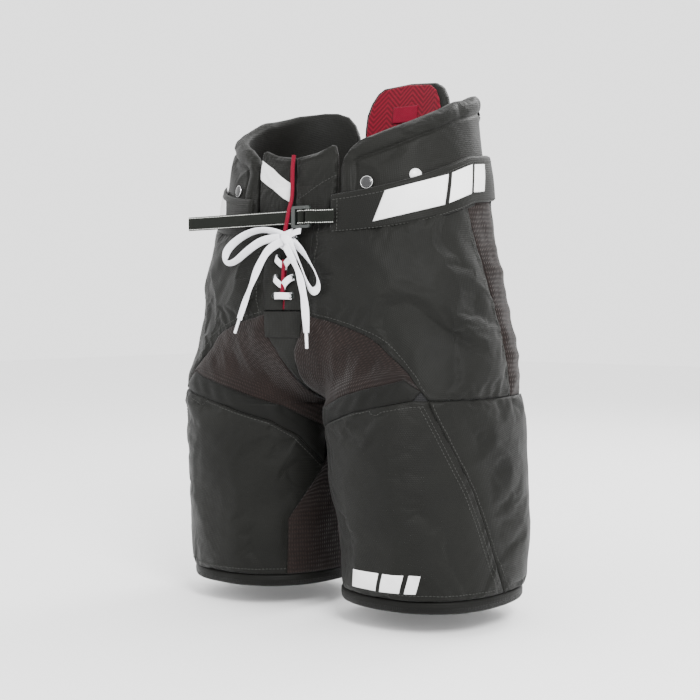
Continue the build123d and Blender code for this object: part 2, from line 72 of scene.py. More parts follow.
WAIST = 450.0  # height of the frame's origin above the hem, mm


def place(x, y, h):
    """Millimetres, with the height above the hem, to a point in the frame."""
    return Vector((x * MM, y * MM, (h - WAIST) * MM))


def link(name, data):
    """Makes an object that shows the data."""
    obj = bpy.data.objects.new(name, data)
    bpy.context.scene.collection.objects.link(obj)
    return obj


# ================================================================ camera
AZIMUTH = radians(38)
DISTANCE = 1.55
EYE = place(0, 0, 327)
AIM = place(0, 0, 275) + Vector((-0.0035 * cos(AZIMUTH), -0.0035 * sin(AZIMUTH), 0))
camera_data = bpy.data.cameras.new("photo_camera")
camera_data.sensor_width = 36.0
camera_data.lens = 36.0 * 1313 / 700
camera = link("photo_camera", camera_data)
camera.location = Vector((DISTANCE * sin(AZIMUTH), -DISTANCE * cos(AZIMUTH), EYE.z))
camera.rotation_euler = (AIM - camera.location).to_track_quat("-Z", "Y").to_euler()
bpy.context.scene.camera = camera


# ================================================================ materials
class Nodes:
    """A short way to write a material's nodes."""

    def __init__(self, name, base, rough, sheen=0.0, metallic=0.0, specular=0.08):
        self.material = bpy.data.materials.new(name)
        self.material.use_nodes = True
        self.tree = self.material.node_tree
        self.shader = self.tree.nodes["Principled BSDF"]
        self.shader.inputs["Base Color"].default_value = (*base, 1)
        self.shader.inputs["Roughness"].default_value = rough
        self.shader.inputs["Metallic"].default_value = metallic
        self.shader.inputs["Specular IOR Level"].default_value = specular
        self.shader.inputs["Sheen Weight"].default_value = sheen
        self.shader.inputs["Sheen Roughness"].default_value = 0.45

    def add(self, kind, links=None, **settings):
        """Adds a node. Links give its inputs: a socket, or a value."""
        node = self.tree.nodes.new("ShaderNode" + kind)
        for key, value in settings.items():
            setattr(node, key, value)
        for key, value in (links or {}).items():
            if isinstance(value, bpy.types.NodeSocket):
                self.tree.links.new(value, node.inputs[key])
            else:
                node.inputs[key].default_value = value
        return node

    def coordinates(self, kind="Object"):
        return self.add("TexCoord").outputs[kind]

    def noise(self, scale, detail=3.0, kind="Object"):
        links = {"Vector": self.coordinates(kind), "Scale": scale, "Detail": detail}
        return self.add("TexNoise", links).outputs["Fac"]

    def bands(self, direction, per_metre, kind="Object", distortion=0.0):
        """Ridges square to a direction, that many in a metre."""
        links = {"Vector": self.coordinates(kind), "Scale": per_metre * 0.31416 / 2, "Distortion": distortion}
        return self.add("TexWave", links, bands_direction=direction, wave_type="BANDS").outputs["Fac"]

    def maths(self, operation, a, b):
        return self.add("Math", {0: a, 1: b}, operation=operation).outputs[0]

    def tint(self, fac, dark, light, low=0.3, high=0.7):
        """Colours the surface between two shades."""
        ramp = self.add("ValToRGB", {"Fac": fac})
        ramp.color_ramp.elements[0].position = low
        ramp.color_ramp.elements[0].color = (*dark, 1)
        ramp.color_ramp.elements[1].position = high
        ramp.color_ramp.elements[1].color = (*light, 1)
        self.tree.links.new(ramp.outputs["Color"], self.shader.inputs["Base Color"])
        return ramp.outputs["Color"]

    def rough(self, fac, low, high):
        links = {"Value": fac, "To Min": low, "To Max": high}
        span = self.add("MapRange", links)
        self.tree.links.new(span.outputs["Result"], self.shader.inputs["Roughness"])

    def bump(self, *layers):
        """Stacks bumps, each a height socket and its depth in metres."""
        normal = None
        for height, depth in layers:
            links = {"Height": height, "Strength": 1.0, "Distance": depth}
            if normal is not None:
                links["Normal"] = normal
            normal = self.add("Bump", links).outputs["Normal"]
        self.tree.links.new(normal, self.shader.inputs["Normal"])


def shade(colour, by):
    return tuple(min(1.0, c * by) for c in colour)


def woven(name, colour, threads=900, depth=0.00022, rough=(0.42, 0.6), sheen=0.04, crinkle=0.0009):
    """Plain-woven nylon: crossed threads, a faint crinkle and worn, lighter patches."""
    m = Nodes(name, colour, 0.6, sheen=sheen)
    warp = m.bands("X", threads, "UV")
    weft = m.bands("Y", threads, "UV")
    weave = m.maths("MULTIPLY", warp, weft)
    patches = m.noise(9.0, 5.0)
    m.tint(patches, shade(colour, 0.82), shade(colour, 1.2))
    m.rough(m.noise(45.0), *rough)
    m.bump((m.noise(38.0, 4.0), crinkle), (m.noise(160.0, 3.0), crinkle * 0.25), (weave, depth))
    return m.material


def knitted(name, colour):
    """Stretch knit: fine ribs crossed by stitches."""
    m = Nodes(name, colour, 0.85, sheen=0.08, specular=0.15)
    ribs = m.bands("X", 620, "UV", 1.2)
    rows = m.bands("Y", 380, "UV", 2.0)
    stitch = m.maths("MULTIPLY", ribs, rows)
    mixed = m.maths("ADD", m.maths("MULTIPLY", stitch, 0.5), m.maths("MULTIPLY", m.noise(30.0), 0.6))
    m.tint(mixed, shade(colour, 0.62), shade(colour, 1.5))
    m.bump((m.noise(26.0), 0.0015), (stitch, 0.0006))
    return m.material


def chevron_lining(name, colour, stripe):
    """Brushed liner with darker zigzag stripes."""
    m = Nodes(name, colour, 0.9, sheen=0.12, specular=0.1)
    split = m.add("SeparateXYZ", {"Vector": m.coordinates("Object")})
    zigzag = m.maths("PINGPONG", m.maths("ADD", split.outputs["X"], 10.0), 0.018)
    height = m.maths("ADD", split.outputs["Z"], zigzag)
    wave = m.maths("PINGPONG", m.maths("ADD", height, 10.0), 0.0032)
    m.tint(m.maths("MULTIPLY", wave, 300.0), stripe, colour, 0.42, 0.6)
    m.bump((m.noise(400.0), 0.0005), (m.noise(60.0), 0.0008))
    return m.material


def tape(name, colour, threads=1400, fray=0.3, sheen=0.2):
    """Narrow woven tape."""
    m = Nodes(name, colour, 0.7, sheen=sheen)
    rib = m.bands("DIAGONAL", threads, "UV")
    cross = m.bands("Y", threads, "UV")
    weave = m.maths("MULTIPLY", rib, cross)
    m.tint(m.maths("ADD", weave, m.noise(60.0)), shade(colour, 1 - fray), colour, 0.3, 1.0)
    m.bump((m.noise(120.0), 0.0004), (weave, 0.0003))
    return m.material


def moulded(name, colour, rough=0.35, metallic=0.0):
    """Moulded plastic or enamel with fine grain and rubbed patches."""
    m = Nodes(name, colour, rough, metallic=metallic, specular=0.5)
    m.tint(m.noise(70.0, 5.0), shade(colour, 0.8), shade(colour, 1.25))
    m.rough(m.noise(150.0), rough * 0.8, rough * 1.4)
    m.bump((m.noise(900.0), 0.00008))
    return m.material


SHELL = (0.0066, 0.0067, 0.0059)
SHELL_CLOTH = woven("shell_nylon", SHELL)
BELT_CLOTH = woven("belt_nylon", shade(SHELL, 0.95), crinkle=0.0006)
TRIM_CLOTH = woven("trim_nylon", shade(SHELL, 0.7), crinkle=0.0005)
KNIT = knitted("stretch_knit", (0.0088, 0.0052, 0.0044))
LINING = chevron_lining("spine_lining_cloth", (0.13, 0.004, 0.013), (0.07, 0.003, 0.008))
INNER = woven("inner_lining", (0.008, 0.008, 0.0085), sheen=0.1)
FOAM = moulded("foam_cell", (0.09, 0.09, 0.09), 0.9)
PLATE = moulded("plate_plastic", (0.03, 0.03, 0.032), 0.5)
PRINT = woven("white_print", (0.72, 0.72, 0.72), depth=0.0001, crinkle=0.0004, sheen=0.0)
THREAD = tape("black_thread", (0.042, 0.043, 0.040), sheen=0.05)
WHITE_THREAD = tape("white_thread", (0.75, 0.76, 0.72))
PIPING = tape("red_piping_cloth", (0.15, 0.003, 0.016), sheen=0.03)
WEBBING = tape("belt_webbing", (0.007, 0.0082, 0.0064), sheen=0.02)
LACE = tape("lace_cloth", (0.86, 0.86, 0.9), fray=0.18)
HARD = moulded("buckle_plastic", (0.010, 0.013, 0.0115), 0.4)
BUTTON_BLACK = moulded("button_black", (0.012, 0.012, 0.013), 0.2)
BUTTON_WHITE = moulded("button_white", (0.7, 0.7, 0.7), 0.25)
STEEL = moulded("button_ring", (0.6, 0.6, 0.6), 0.2, 1.0)
AGLET = moulded("lace_tip_plastic", (0.7, 0.7, 0.72), 0.25)


def dress(obj, body, slot, material, *nodes):
    """Gives a piece its material and body, and hides the CAD nodes that it stands for; the slot is not used."""
    obj.data.materials.clear()
    obj.data.materials.append(material)
    if body is not None:
        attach(obj, body)
    if nodes:
        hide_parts(*nodes)
    return obj


# ================================================================ laces
KNOT = (8, -124, 401)
# Routes as (x, y, height above the hem), in mm, from the knot outwards
LACE_ROUTES = {
    "lace_right_loop": [
        (2, -126, 404), (-14, -127, 411), (-38, -128, 412), (-62, -129, 404), (-82, -130, 390),
        (-84, -130, 376), (-70, -130, 375), (-46, -130, 391), (-22, -130, 402), (-2, -129, 402),
    ],
    "lace_right_tail": [
        (3, -129, 398), (-14, -131, 393), (-28, -133, 374), (-40, -134, 350), (-52, -134, 326), (-58, -134, 312),
    ],
    "lace_left_loop": [
        (14, -126, 398), (26, -128, 391), (42, -131, 376), (55, -133, 360), (58, -134, 346),
        (50, -135, 341), (42, -135, 352), (34, -134, 370), (20, -132, 389), (13, -130, 396),
    ],
    "lace_left_tail": [
        (9, -132, 393), (20, -134, 380), (33, -137, 362), (41, -139, 340), (44, -139, 318), (44, -138, 298),
    ],
}
LACE_WIDE = 9.0
LACE_THICK = 1.5


def follow(route):
    """Points close together on the smooth NURBS line of a route."""
    curve = bpy.data.curves.new("route", "CURVE")
    curve.dimensions = "3D"
    curve.resolution_u = 16
    spline = curve.splines.new("NURBS")
    spline.points.add(len(route) - 1)
    for point, (x, y, h) in zip(spline.points, route):
        point.co = (*place(x, y, h), 1)
    spline.order_u = 3
    spline.use_endpoint_u = True
    obj = bpy.data.objects.new("route", curve)
    mesh = bpy.data.meshes.new_from_object(obj)
    line = np.array([v.co for v in mesh.vertices])
    bpy.data.objects.remove(obj)
    return line


def make_mesh(name, points, faces, uvs=None, smooth=True):
    """A mesh object from points in metres."""
    mesh = bpy.data.meshes.new(name)
    mesh.from_pydata([tuple(p) for p in points], [], [tuple(f) for f in faces])
    if uvs is not None:
        layer = mesh.uv_layers.new(name="UVMap")
        corners = np.empty(len(mesh.loops), int)
        mesh.loops.foreach_get("vertex_index", corners)
        layer.data.foreach_set("uv", np.asarray(uvs, float)[corners].ravel())
    mesh.polygons.foreach_set("use_smooth", [smooth] * len(mesh.polygons))
    mesh.update()
    return link(name, mesh)


def strip(name, line, wide, thick, facing, roll=None, sides=12):
    """A flat tape along a line, its width square to the line and to facing; roll turns it about the line."""
    line = np.asarray(line, float)
    count = len(line)
    along = np.gradient(line, axis=0)
    along /= np.linalg.norm(along, axis=1)[:, None]
    across = np.cross(along, np.asarray(facing, float))
    across /= np.linalg.norm(across, axis=1)[:, None]
    out = np.cross(across, along)
    turn = np.zeros(count) if roll is None else np.asarray(roll)
    wide_axis = across * np.cos(turn)[:, None] + out * np.sin(turn)[:, None]
    thin_axis = out * np.cos(turn)[:, None] - across * np.sin(turn)[:, None]
    far = np.concatenate([[0], np.cumsum(np.linalg.norm(np.diff(line, axis=0), axis=1))])
    points, uvs, faces = [], [], []
    for i in range(count):
        for k in range(sides):
            a = 2 * pi * k / sides
            flat = np.sign(cos(a)) * abs(cos(a)) ** 0.6 * wide / 2
            edge = np.sign(sin(a)) * abs(sin(a)) ** 0.8 * thick / 2
            points.append(line[i] + wide_axis[i] * flat + thin_axis[i] * edge)
            uvs.append((flat, far[i]))
    for i in range(count - 1):
        for k in range(sides):
            a, b = i * sides + k, i * sides + (k + 1) % sides
            faces.append((a, b, b + sides, a + sides))
    faces.append(tuple(reversed(range(sides))))
    faces.append(tuple(range((count - 1) * sides, count * sides)))
    return make_mesh(name, points, faces, uvs)


FRONT = (0, -1, 0)
for cord_name, aglet_nodes in (("lace_right_tail", 0), ("lace_left_tail", 1)):
    line = follow(LACE_ROUTES[cord_name])
    end = line[-1]
    direction = (line[-1] - line[-3]) / np.linalg.norm(line[-1] - line[-3])
    reach = np.linspace(-0.002, 0.017, 14)
    sleeve = end + direction * reach[:, None]
    sleeve_width = 0.0036
    aglet = strip(cord_name + "_tip", sleeve, sleeve_width, 0.0026, FRONT)
    dress(aglet, "girdle", "hard_plastic", AGLET)
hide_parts("lace_tips")

LACE_ROLLS = {"lace_right_loop": 0.95, "lace_left_loop": -0.85, "lace_right_tail": 0.25, "lace_left_tail": -0.2}
laces = {}
for cord_name, route in LACE_ROUTES.items():
    line = follow(route)
    share = np.linspace(0, 1, len(line))
    roll = LACE_ROLLS[cord_name] * np.sin(share * pi * 2) + 0.15 * np.sin(share * 17)
    lace = strip(cord_name + "_tape", line, LACE_WIDE * MM, LACE_THICK * MM, FRONT, roll)
    dress(lace, "girdle", "lace", LACE, cord_name)
    laces[cord_name] = (lace, line)

for name in ("lace_right_loop", "lace_left_loop"):
    lace, line = laces[name]
for name in ("lace_right_tail", "lace_left_tail"):
    lace, line = laces[name]

# ================================================================ the body's surface
# height, half width, half depth, middle behind the origin; the leg's rows start with the middle's X
TORSO = np.array([
    (226, 208, 128, 0), (262, 204, 128, 0), (300, 197, 127, 0), (356, 183, 124, 1), (410, 170, 118, 3),
    (460, 162, 115, 5), (540, 148, 114, 8), (620, 146, 118, 16),
], float)
LEG = np.array([(0, 115, 95, 103, 0), (60, 114, 96, 105, 0), (140, 110, 99, 111, -5), (240, 105, 100, 120, -9)], float)
TORSO_POWER = 2.4
LEG_POWER = 2.3
CROTCH = 215.0
TORSO_LOW = 300.0


def column(table, k, h):
    """A table's column at heights, on a smooth curve, and on straight lines past its ends."""
    heights, values = table[:, 0], table[:, k]
    slopes = np.gradient(values, heights)
    i = np.clip(np.searchsorted(heights, h) - 1, 0, len(heights) - 2)
    step = heights[i + 1] - heights[i]
    whole = (h - heights[i]) / step
    t = np.clip(whole, 0, 1)
    bent = (2 * t**3 - 3 * t**2 + 1) * values[i] + (3 * t**2 - 2 * t**3) * values[i + 1]
    bent += step * ((t**3 - 2 * t**2 + t) * slopes[i] + (t**3 - t**2) * slopes[i + 1])
    return bent + (whole - t) * step * np.where(whole < 0, slopes[i], slopes[i + 1])


def signed_power(v, n):
    return np.sign(v) * np.abs(v) ** (2 / n)


def surface(u, h, inset=0.0):
    """Points of the left half, in mm: u runs from the front centre over the side to the back centre."""
    u, h = np.broadcast_arrays(np.asarray(u, float), np.asarray(h, float))
    middle, wide, deep, back = (column(LEG, k, h) for k in (1, 2, 3, 4))
    leg_x = middle - (wide - inset) * signed_power(np.cos(2 * pi * u), LEG_POWER)
    leg_y = back - (deep - inset) * signed_power(np.sin(2 * pi * u), LEG_POWER)
    wide, deep, back = (column(TORSO, k, h) for k in (1, 2, 3))
    x = (wide - inset) * signed_power(np.sin(pi * u), TORSO_POWER)
    y = back - (deep - inset) * signed_power(np.cos(pi * u), TORSO_POWER)
    t = np.clip((h - CROTCH) / (TORSO_LOW - CROTCH), 0, 1)
    at_centre = np.sqrt(1 - (1 - t) ** 2)
    at_side = t * t * (3 - 2 * t)
    share = at_side + (at_centre - at_side) * np.minimum(np.abs(2 * u - 1), 1) ** 3
    return np.stack([leg_x + (x - leg_x) * share, leg_y + (y - leg_y) * share, h], -1)


def outward(u, h, inset=0.0):
    """Unit normals of the surface."""
    across = surface(u + 0.003, h, inset) - surface(u - 0.003, h, inset)
    up = surface(u, h + 1.0, inset) - surface(u, h - 1.0, inset)
    n = np.cross(across, up)
    return n / np.maximum(np.linalg.norm(n, axis=-1), 1e-9)[..., None]


SEARCH = np.linspace(0, 1, 1601)


def at_x(x, h):
    """(u, h) of the point on the front at an X."""
    line = surface(SEARCH[:801], h)
    return float(np.interp(x, np.maximum.accumulate(line[:, 0]), SEARCH[:801])), h


def at_y(y, h):
    """(u, h) of the point on the outer side at a Y."""
    line = surface(SEARCH, h)[:, 1]
    low, high = int(np.argmin(line)), int(np.argmax(line))
    return float(np.interp(y, line[low : high + 1], SEARCH[low : high + 1])), h


def at_inner_y(y, h):
    """(u, h) of the point on the leg's inner side at a Y; u is below 0 behind the middle."""
    u = np.linspace(-0.25, 0.25, 801)
    line = surface(u, h)[:, 1]
    return float(np.interp(-y, -line, u)), h


SIDE_SCALE = 480.0  # mm that one unit of u stands for


def resample(points, count):
    """Points evenly spaced along a line of (u, h) points."""
    points = np.array(points, float)
    steps = np.hypot(np.diff(points[:, 0]) * SIDE_SCALE, np.diff(points[:, 1]))
    far = np.concatenate([[0], np.cumsum(steps)])
    at = np.linspace(0, far[-1], count)
    return np.stack([np.interp(at, far, points[:, 0]), np.interp(at, far, points[:, 1])], -1)


def coons(bottom, top, left, right, columns, rows):
    """A grid of (u, h) between four border lines. Bottom and top run left to right, the others upwards."""
    b, t = resample(bottom, columns), resample(top, columns)
    lft, r = resample(left, rows), resample(right, rows)
    s = np.linspace(0, 1, columns)[None, :, None]
    v = np.linspace(0, 1, rows)[:, None, None]
    ruled = (1 - v) * b[None] + v * t[None] + (1 - s) * lft[:, None] + s * r[:, None]
    corners = (1 - s) * (1 - v) * b[0] + s * (1 - v) * b[-1] + (1 - s) * v * t[0] + s * v * t[-1]
    grid = ruled - corners
    return grid[..., 0], grid[..., 1]


def run_lengths(points, axis):
    """How far each grid point is along its row or column."""
    step = np.linalg.norm(np.diff(points, axis=axis), axis=-1)
    zero = np.zeros_like(np.take(step, [0], axis=axis))
    return np.concatenate([zero, np.cumsum(step, axis=axis)], axis=axis)


def smooth_noise(points, size, seed):
    """Smooth noise from -1 to 1 with bumps about size mm wide, the same each time."""
    total = np.zeros(points.shape[:-1])
    random = np.random.default_rng(seed)
    for _ in range(14):
        direction = random.normal(size=3)
        direction /= np.linalg.norm(direction)
        rate = 2 * pi / (size * random.uniform(1.2, 2.6))
        total += np.sin(points @ direction * rate + random.uniform(0, 2 * pi))
    return total / 5.0


def fold_height(points, folds):
    """Ridges and valleys along lines between two points, each with a width and a height in mm."""
    total = np.zeros(points.shape[:-1])
    for start, end, wide, high in folds:
        a, b = surface(*start), surface(*end)
        run = b - a
        t = np.clip(((points - a) @ run) / (run @ run), 0, 1)
        bow = a + t[..., None] * run
        away = np.linalg.norm(points - bow, axis=-1)
        total += high * np.exp(-((away / wide) ** 2)) * np.sin(pi * np.clip(t * 0.9 + 0.05, 0, 1)) ** 0.6
    return total


def two_skins(name, outer, inner, uvs, side, weld):
    """A closed mesh from an outer and an inner grid in mm, joined round their borders."""
    rows, columns = outer.shape[:2]
    count = rows * columns
    points = np.concatenate([outer.reshape(-1, 3), inner.reshape(-1, 3)])
    points = points * (side, 1, 1)
    points = (points - (0, 0, WAIST)) * MM
    index = np.arange(count).reshape(rows, columns)
    back = index + count
    ring = [index[0, :-1], index[:-1, -1], index[-1, :0:-1], index[:0:-1, 0]]
    ring = np.concatenate(ring)
    if weld:
        back = back.copy()
        flat = back.ravel()
        flat[ring] = ring
        back = flat.reshape(rows, columns)
    faces = []
    for grid, flip in ((index, False), (back, True)):
        a, b, c, d = grid[:-1, :-1], grid[:-1, 1:], grid[1:, 1:], grid[1:, :-1]
        quads = np.stack([a, b, c, d], -1).reshape(-1, 4)
        faces.append(quads[:, ::-1] if flip else quads)
    if not weld:
        following = np.roll(ring, -1)
        faces.append(np.stack([following, ring, ring + count, following + count], -1))
    faces = np.concatenate(faces)
    if side < 0:
        faces = faces[:, ::-1]
    both = np.concatenate([uvs.reshape(-1, 2)] * 2)
    used = np.unique(faces)
    renumber = np.full(len(points), -1)
    renumber[used] = np.arange(len(used))
    return make_mesh(name, points[used], renumber[faces].tolist(), both[used])


CLOTH_FRAMES = 20
CLOTH_CAP = 6.0  # mm that the cloth may move out
CLOTH_SINK = 1.0  # mm that it may move in
CLOTH_SLIP = 4.0  # mm that it may move sideways


def settle(outer, normal, growth=0.035, stiff=0.04):
    """Lets a grid of cloth swell under pressure with its borders sewn down, and gives the grid it comes to rest in."""
    rows, columns = outer.shape[:2]
    index = np.arange(rows * columns).reshape(rows, columns)
    faces = np.stack([index[:-1, :-1], index[:-1, 1:], index[1:, 1:], index[1:, :-1]], -1).reshape(-1, 4)
    obj = make_mesh("settling_cloth", outer.reshape(-1, 3) * MM, faces.tolist())
    border = np.zeros((rows, columns), bool)
    border[[0, -1]] = True
    border[:, [0, -1]] = True
    pins = obj.vertex_groups.new(name="sewn")
    pins.add(index[border].tolist(), 1.0, "REPLACE")
    cloth = obj.modifiers.new("cloth", "CLOTH")
    cloth.collision_settings.use_collision = False
    cloth.collision_settings.use_self_collision = False
    cloth.point_cache.frame_start = 1
    cloth.point_cache.frame_end = CLOTH_FRAMES
    settings = cloth.settings
    settings.quality = 5
    settings.mass = 0.15
    settings.tension_stiffness = 20
    settings.compression_stiffness = 20
    settings.shear_stiffness = 8
    settings.bending_stiffness = stiff
    settings.shrink_min = -growth
    settings.use_pressure = True
    settings.uniform_pressure_force = 4.0
    settings.effector_weights.gravity = 0
    settings.vertex_group_mass = "sewn"
    for frame_number in range(1, CLOTH_FRAMES + 1):
        bpy.context.scene.frame_set(frame_number)
    settled = obj.evaluated_get(bpy.context.evaluated_depsgraph_get()).to_mesh()
    flat = np.empty(rows * columns * 3)
    settled.vertices.foreach_get("co", flat)
    bpy.data.objects.remove(obj)
    bpy.context.scene.frame_set(1)
    moved = flat.reshape(rows, columns, 3) / MM - outer
    out = (moved * normal).sum(-1)
    slip = moved - normal * out[..., None]
    far = np.linalg.norm(slip, axis=-1)[..., None]
    slip *= np.minimum(1, CLOTH_SLIP / np.maximum(far, 1e-6))
    return outer + slip + normal * np.clip(out, -CLOTH_SINK, CLOTH_CAP)[..., None]


def grid_facts(u, h, depth):
    """A grid's points, normals, distances to its four borders (left, right, bottom, top) and UVs."""
    base = surface(u, h, depth)
    normal = outward(u, h, depth)
    along, up = run_lengths(base, 1), run_lengths(base, 0)
    borders = along, along[:, -1:] - along, up, up[-1:] - up
    middle = along - along[:, along.shape[1] // 2][:, None]
    return base, normal, borders, np.stack([middle, up], -1) * MM


def panel(
    name, side, borders, size=(60, 60), puff=2.2, sink=1.3, folds=(), thick=1.6, rough=0.9, seed=1, depth=0.0,
    growth=0.0,
):
    """A sewn cloth panel: it swells between its seams, and its borders sink into them."""
    u, h = coons(*borders, *size)
    base, normal, (left, right, low, high), uvs = grid_facts(u, h, depth)
    edge = np.minimum.reduce([left, right, low, high])
    rise = 1 - np.exp(-edge / 6.0)
    lift = -sink + (puff + sink) * rise
    lift += (fold_height(base, folds) + rough * smooth_noise(base, 34, seed)) * (1 - np.exp(-edge / 10.0))
    lift += 0.25 * rough * smooth_noise(base, 11, seed + 50)
    outer = base + normal * lift[..., None]
    if growth:
        outer = settle(outer, normal, growth)
    return two_skins(name, outer, outer - normal * thick, uvs, side, False)


def pillow(
    name, side, borders, depths, size=(60, 60), rim=0.0, rim_rise=2.0, rim_sides="T", rough=0.7, seed=1, puff=1.5,
    growth=0.0,
):
    """A pad between two depths with rounded borders; rim is the width of a roll sewn along the named borders."""
    u, h = coons(*borders, *size)
    half = (depths[1] - depths[0]) / 2
    base, normal, (left, right, low, high), uvs = grid_facts(u, h, depths[0] + half)
    edge = np.minimum.reduce([left, right, low, high])
    round_edge = np.sqrt(1 - (1 - np.clip(edge / (half * 1.25), 0, 1)) ** 2)
    lift = half * round_edge
    detail = puff * (1 - np.exp(-edge / 22.0)) + rough * smooth_noise(base, 40, seed)
    if rim:
        chosen = [d for d, key in ((left, "L"), (right, "R"), (low, "B"), (high, "T")) if key in rim_sides]
        away = np.minimum.reduce(chosen)
        detail += rim_rise * np.sin(pi * np.clip(away / rim, 0, 1)) - 2.2 * np.exp(-(((away - rim) / 2.0) ** 2))
    outer = base + normal * lift[..., None]
    if growth:
        outer = settle(outer, normal, growth)
    outer = outer + normal * (detail * round_edge)[..., None]
    inner = base - normal * (lift + 0.3 * rough * smooth_noise(base, 30, seed + 9) * round_edge)[..., None]
    return two_skins(name, outer, inner, uvs, side, True)


def along_x(points):
    return [at_x(x, h) for x, h in points]


# ================================================================ seams of the left half
GROIN_TIP = at_x(170, 238)
GROIN_TOP = along_x([(28, 318), (45, 314), (60, 311), (81, 305), (105, 296), (125, 281), (142, 267), (155, 256)])
GROIN_TOP.append(GROIN_TIP)
GROIN_LOW = along_x([(10, 187), (20, 203), (40, 217), (84, 232), (123, 242), (152, 250)]) + [GROIN_TIP]
THIGH_SEAM = along_x([(13, 142), (22, 177), (41, 195), (75, 206), (120, 219), (164, 228)])
FLY_SIDE = along_x([(28, 318), (30, 330), (33, 360), (33, 424)])
GUSSET_SIDE = [(0.012, 187.0), *along_x([(3, 226), (5, 250), (13, 278), (25, 300), (28, 318)])]
SIDE_SEAM = 228.0
DIAGONAL_TOP = at_y(-98, SIDE_SEAM)
DIAGONAL = [at_y(0, 15), at_y(-26, 70), at_y(-52, 130), DIAGONAL_TOP]
BACK_SEAM_Y = 60.0
INNER_SEAM = [at_inner_y(-72, 15), at_inner_y(-74, 80), at_inner_y(-78, 142)]
HEM_TOP = 15.0


def inner_back(h):
    return at_inner_y(BACK_SEAM_Y, h)


def belt_middle(y):
    """Height of the belt's middle line at a Y: it climbs less behind the side."""
    return 466 + (0.36 if y < 0 else 0.11) * y


def belt_line(y0, y1, offset, steps=9):
    """A line (u, h) along the belt from one Y to another, that far above its middle."""
    line = []
    for y in np.linspace(y0, y1, steps):
        h = belt_middle(y) + offset
        line.append(at_y(float(y), float(h)))
    return line


def between_points(a, b, steps=6):
    return [tuple(np.array(a) + (np.array(b) - np.array(a)) * t) for t in np.linspace(0, 1, steps)]


SIDES = ((1, "left"), (-1, "right"))


def crossing(piece, word, slot, material, *nodes):
    """Dresses fabric that runs between the upper part and a leg: it gets no body, and its transform is baked into its
    mesh.
    """
    dress(piece, None, slot, material, *nodes)
    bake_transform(piece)


# ================================================================ legs
def thigh_folds(side):
    return [
        (at_x(70, 190), at_y(-70, 150), 14, -1.6), (at_x(110, 160), at_y(-50, 90), 18, 1.6),
        (at_x(60, 110), at_x(170, 60), 20, 1.2 * side), (at_x(150, 200), at_y(-60, 190), 10, -1.4),
    ]


for side, word in SIDES:
    leg = word + "_leg"
    thigh = panel(
        word + "_thigh_panel", side,
        (
            [INNER_SEAM[0], at_x(60, HEM_TOP), at_x(115, HEM_TOP), at_x(170, HEM_TOP), DIAGONAL[0]],
            [*THIGH_SEAM, DIAGONAL_TOP], [*INNER_SEAM[:2], THIGH_SEAM[0]], DIAGONAL,
        ),
        (110, 90), puff=2.0, folds=thigh_folds(side), seed=3 + side, growth=0.030,
    )
    dress(thigh, leg, "shell", SHELL_CLOTH, word + "_thigh_shell")

    outside = panel(
        word + "_outer_panel", side,
        (
            [DIAGONAL[0], at_y(50, HEM_TOP), (0.75, HEM_TOP), (inner_back(HEM_TOP)[0] + 1, HEM_TOP)],
            [DIAGONAL_TOP, at_y(0, SIDE_SEAM), at_y(60, SIDE_SEAM), (0.78, 214), (0.86, 205)],
            DIAGONAL, [(inner_back(HEM_TOP)[0] + 1, HEM_TOP), (0.86, 205)],
        ),
        (120, 90), puff=2.0, seed=11 + side, growth=0.030,
        folds=[(at_y(-40, 200), at_y(70, 160), 16, -1.6), (at_y(0, 120), at_y(90, 70), 22, 1.6),
               (at_y(20, 215), at_y(95, 200), 8, -1.8)],
    )
    dress(outside, leg, "shell", SHELL_CLOTH, word + "_outer_thigh_shell")

    inside = panel(
        word + "_inner_panel", side,
        (
            [inner_back(HEM_TOP), (0.0, HEM_TOP), INNER_SEAM[0]], [(-0.14, 205), (0.0, 200), THIGH_SEAM[0]],
            [inner_back(HEM_TOP), (-0.14, 205)], [*INNER_SEAM[:2], THIGH_SEAM[0]],
        ),
        (60, 80), puff=1.4, seed=21 + side,
        folds=[((-0.1, 180), (0.12, 120), 10, -1.5), ((-0.05, 120), (0.12, 60), 12, 1.3)],
    )
    dress(inside, leg, "knit", KNIT, word + "_inner_thigh_shell")

    yoke = panel(
        word + "_thigh_yoke_band", side, (THIGH_SEAM, GROIN_LOW[:-1] + [GROIN_TIP], [THIGH_SEAM[0], GROIN_LOW[0]],
                                     [THIGH_SEAM[-1], GROIN_TIP]),
        (110, 24), puff=1.8, rough=1.5, seed=31 + side,
        folds=[(at_x(20 + 22 * i, 190 + 7 * i), at_x(34 + 22 * i, 214 + 6 * i), 5, -1.6) for i in range(6)],
    )
    crossing(yoke, word, "shell", TRIM_CLOTH, word + "_thigh_yoke")


def hem(side, word):
    """The folded binding round the leg's opening; the seam line above it is stitched onto the thigh and outer panels.
    """
    turns, sections = 200, 16
    u = np.linspace(0, 1, turns, endpoint=False)
    points, uvs = [], []
    for k in range(sections):
        a = 2 * pi * k / sections
        depth = 8.4 - 8.7 * np.sign(cos(a)) * abs(cos(a)) ** 0.45
        height = 7.4 + 7.3 * np.sign(sin(a)) * abs(sin(a)) ** 0.6
        ring = surface(u, np.full(turns, height))
        normal = outward(u, np.full(turns, height))
        wave = 0.5 * smooth_noise(ring, 25, 5 + side)
        points.append(ring - normal * (depth - wave)[:, None])
        uvs.append(np.stack([u * 0.62, np.full(turns, k * 0.003)], -1))
    points = np.stack(points)
    index = np.arange(turns * sections).reshape(sections, turns)
    following, beside = np.roll(index, -1, 0), np.roll(index, -1, 1)
    corner = np.roll(following, -1, 1)
    faces = np.stack([index, beside, corner, following], -1).reshape(-1, 4)
    if side < 0:
        faces = faces[:, ::-1]
    flat = (points.reshape(-1, 3) * (side, 1, 1) - (0, 0, WAIST)) * MM
    return make_mesh(word + "_hem_band", flat, faces.tolist(), np.concatenate(uvs))


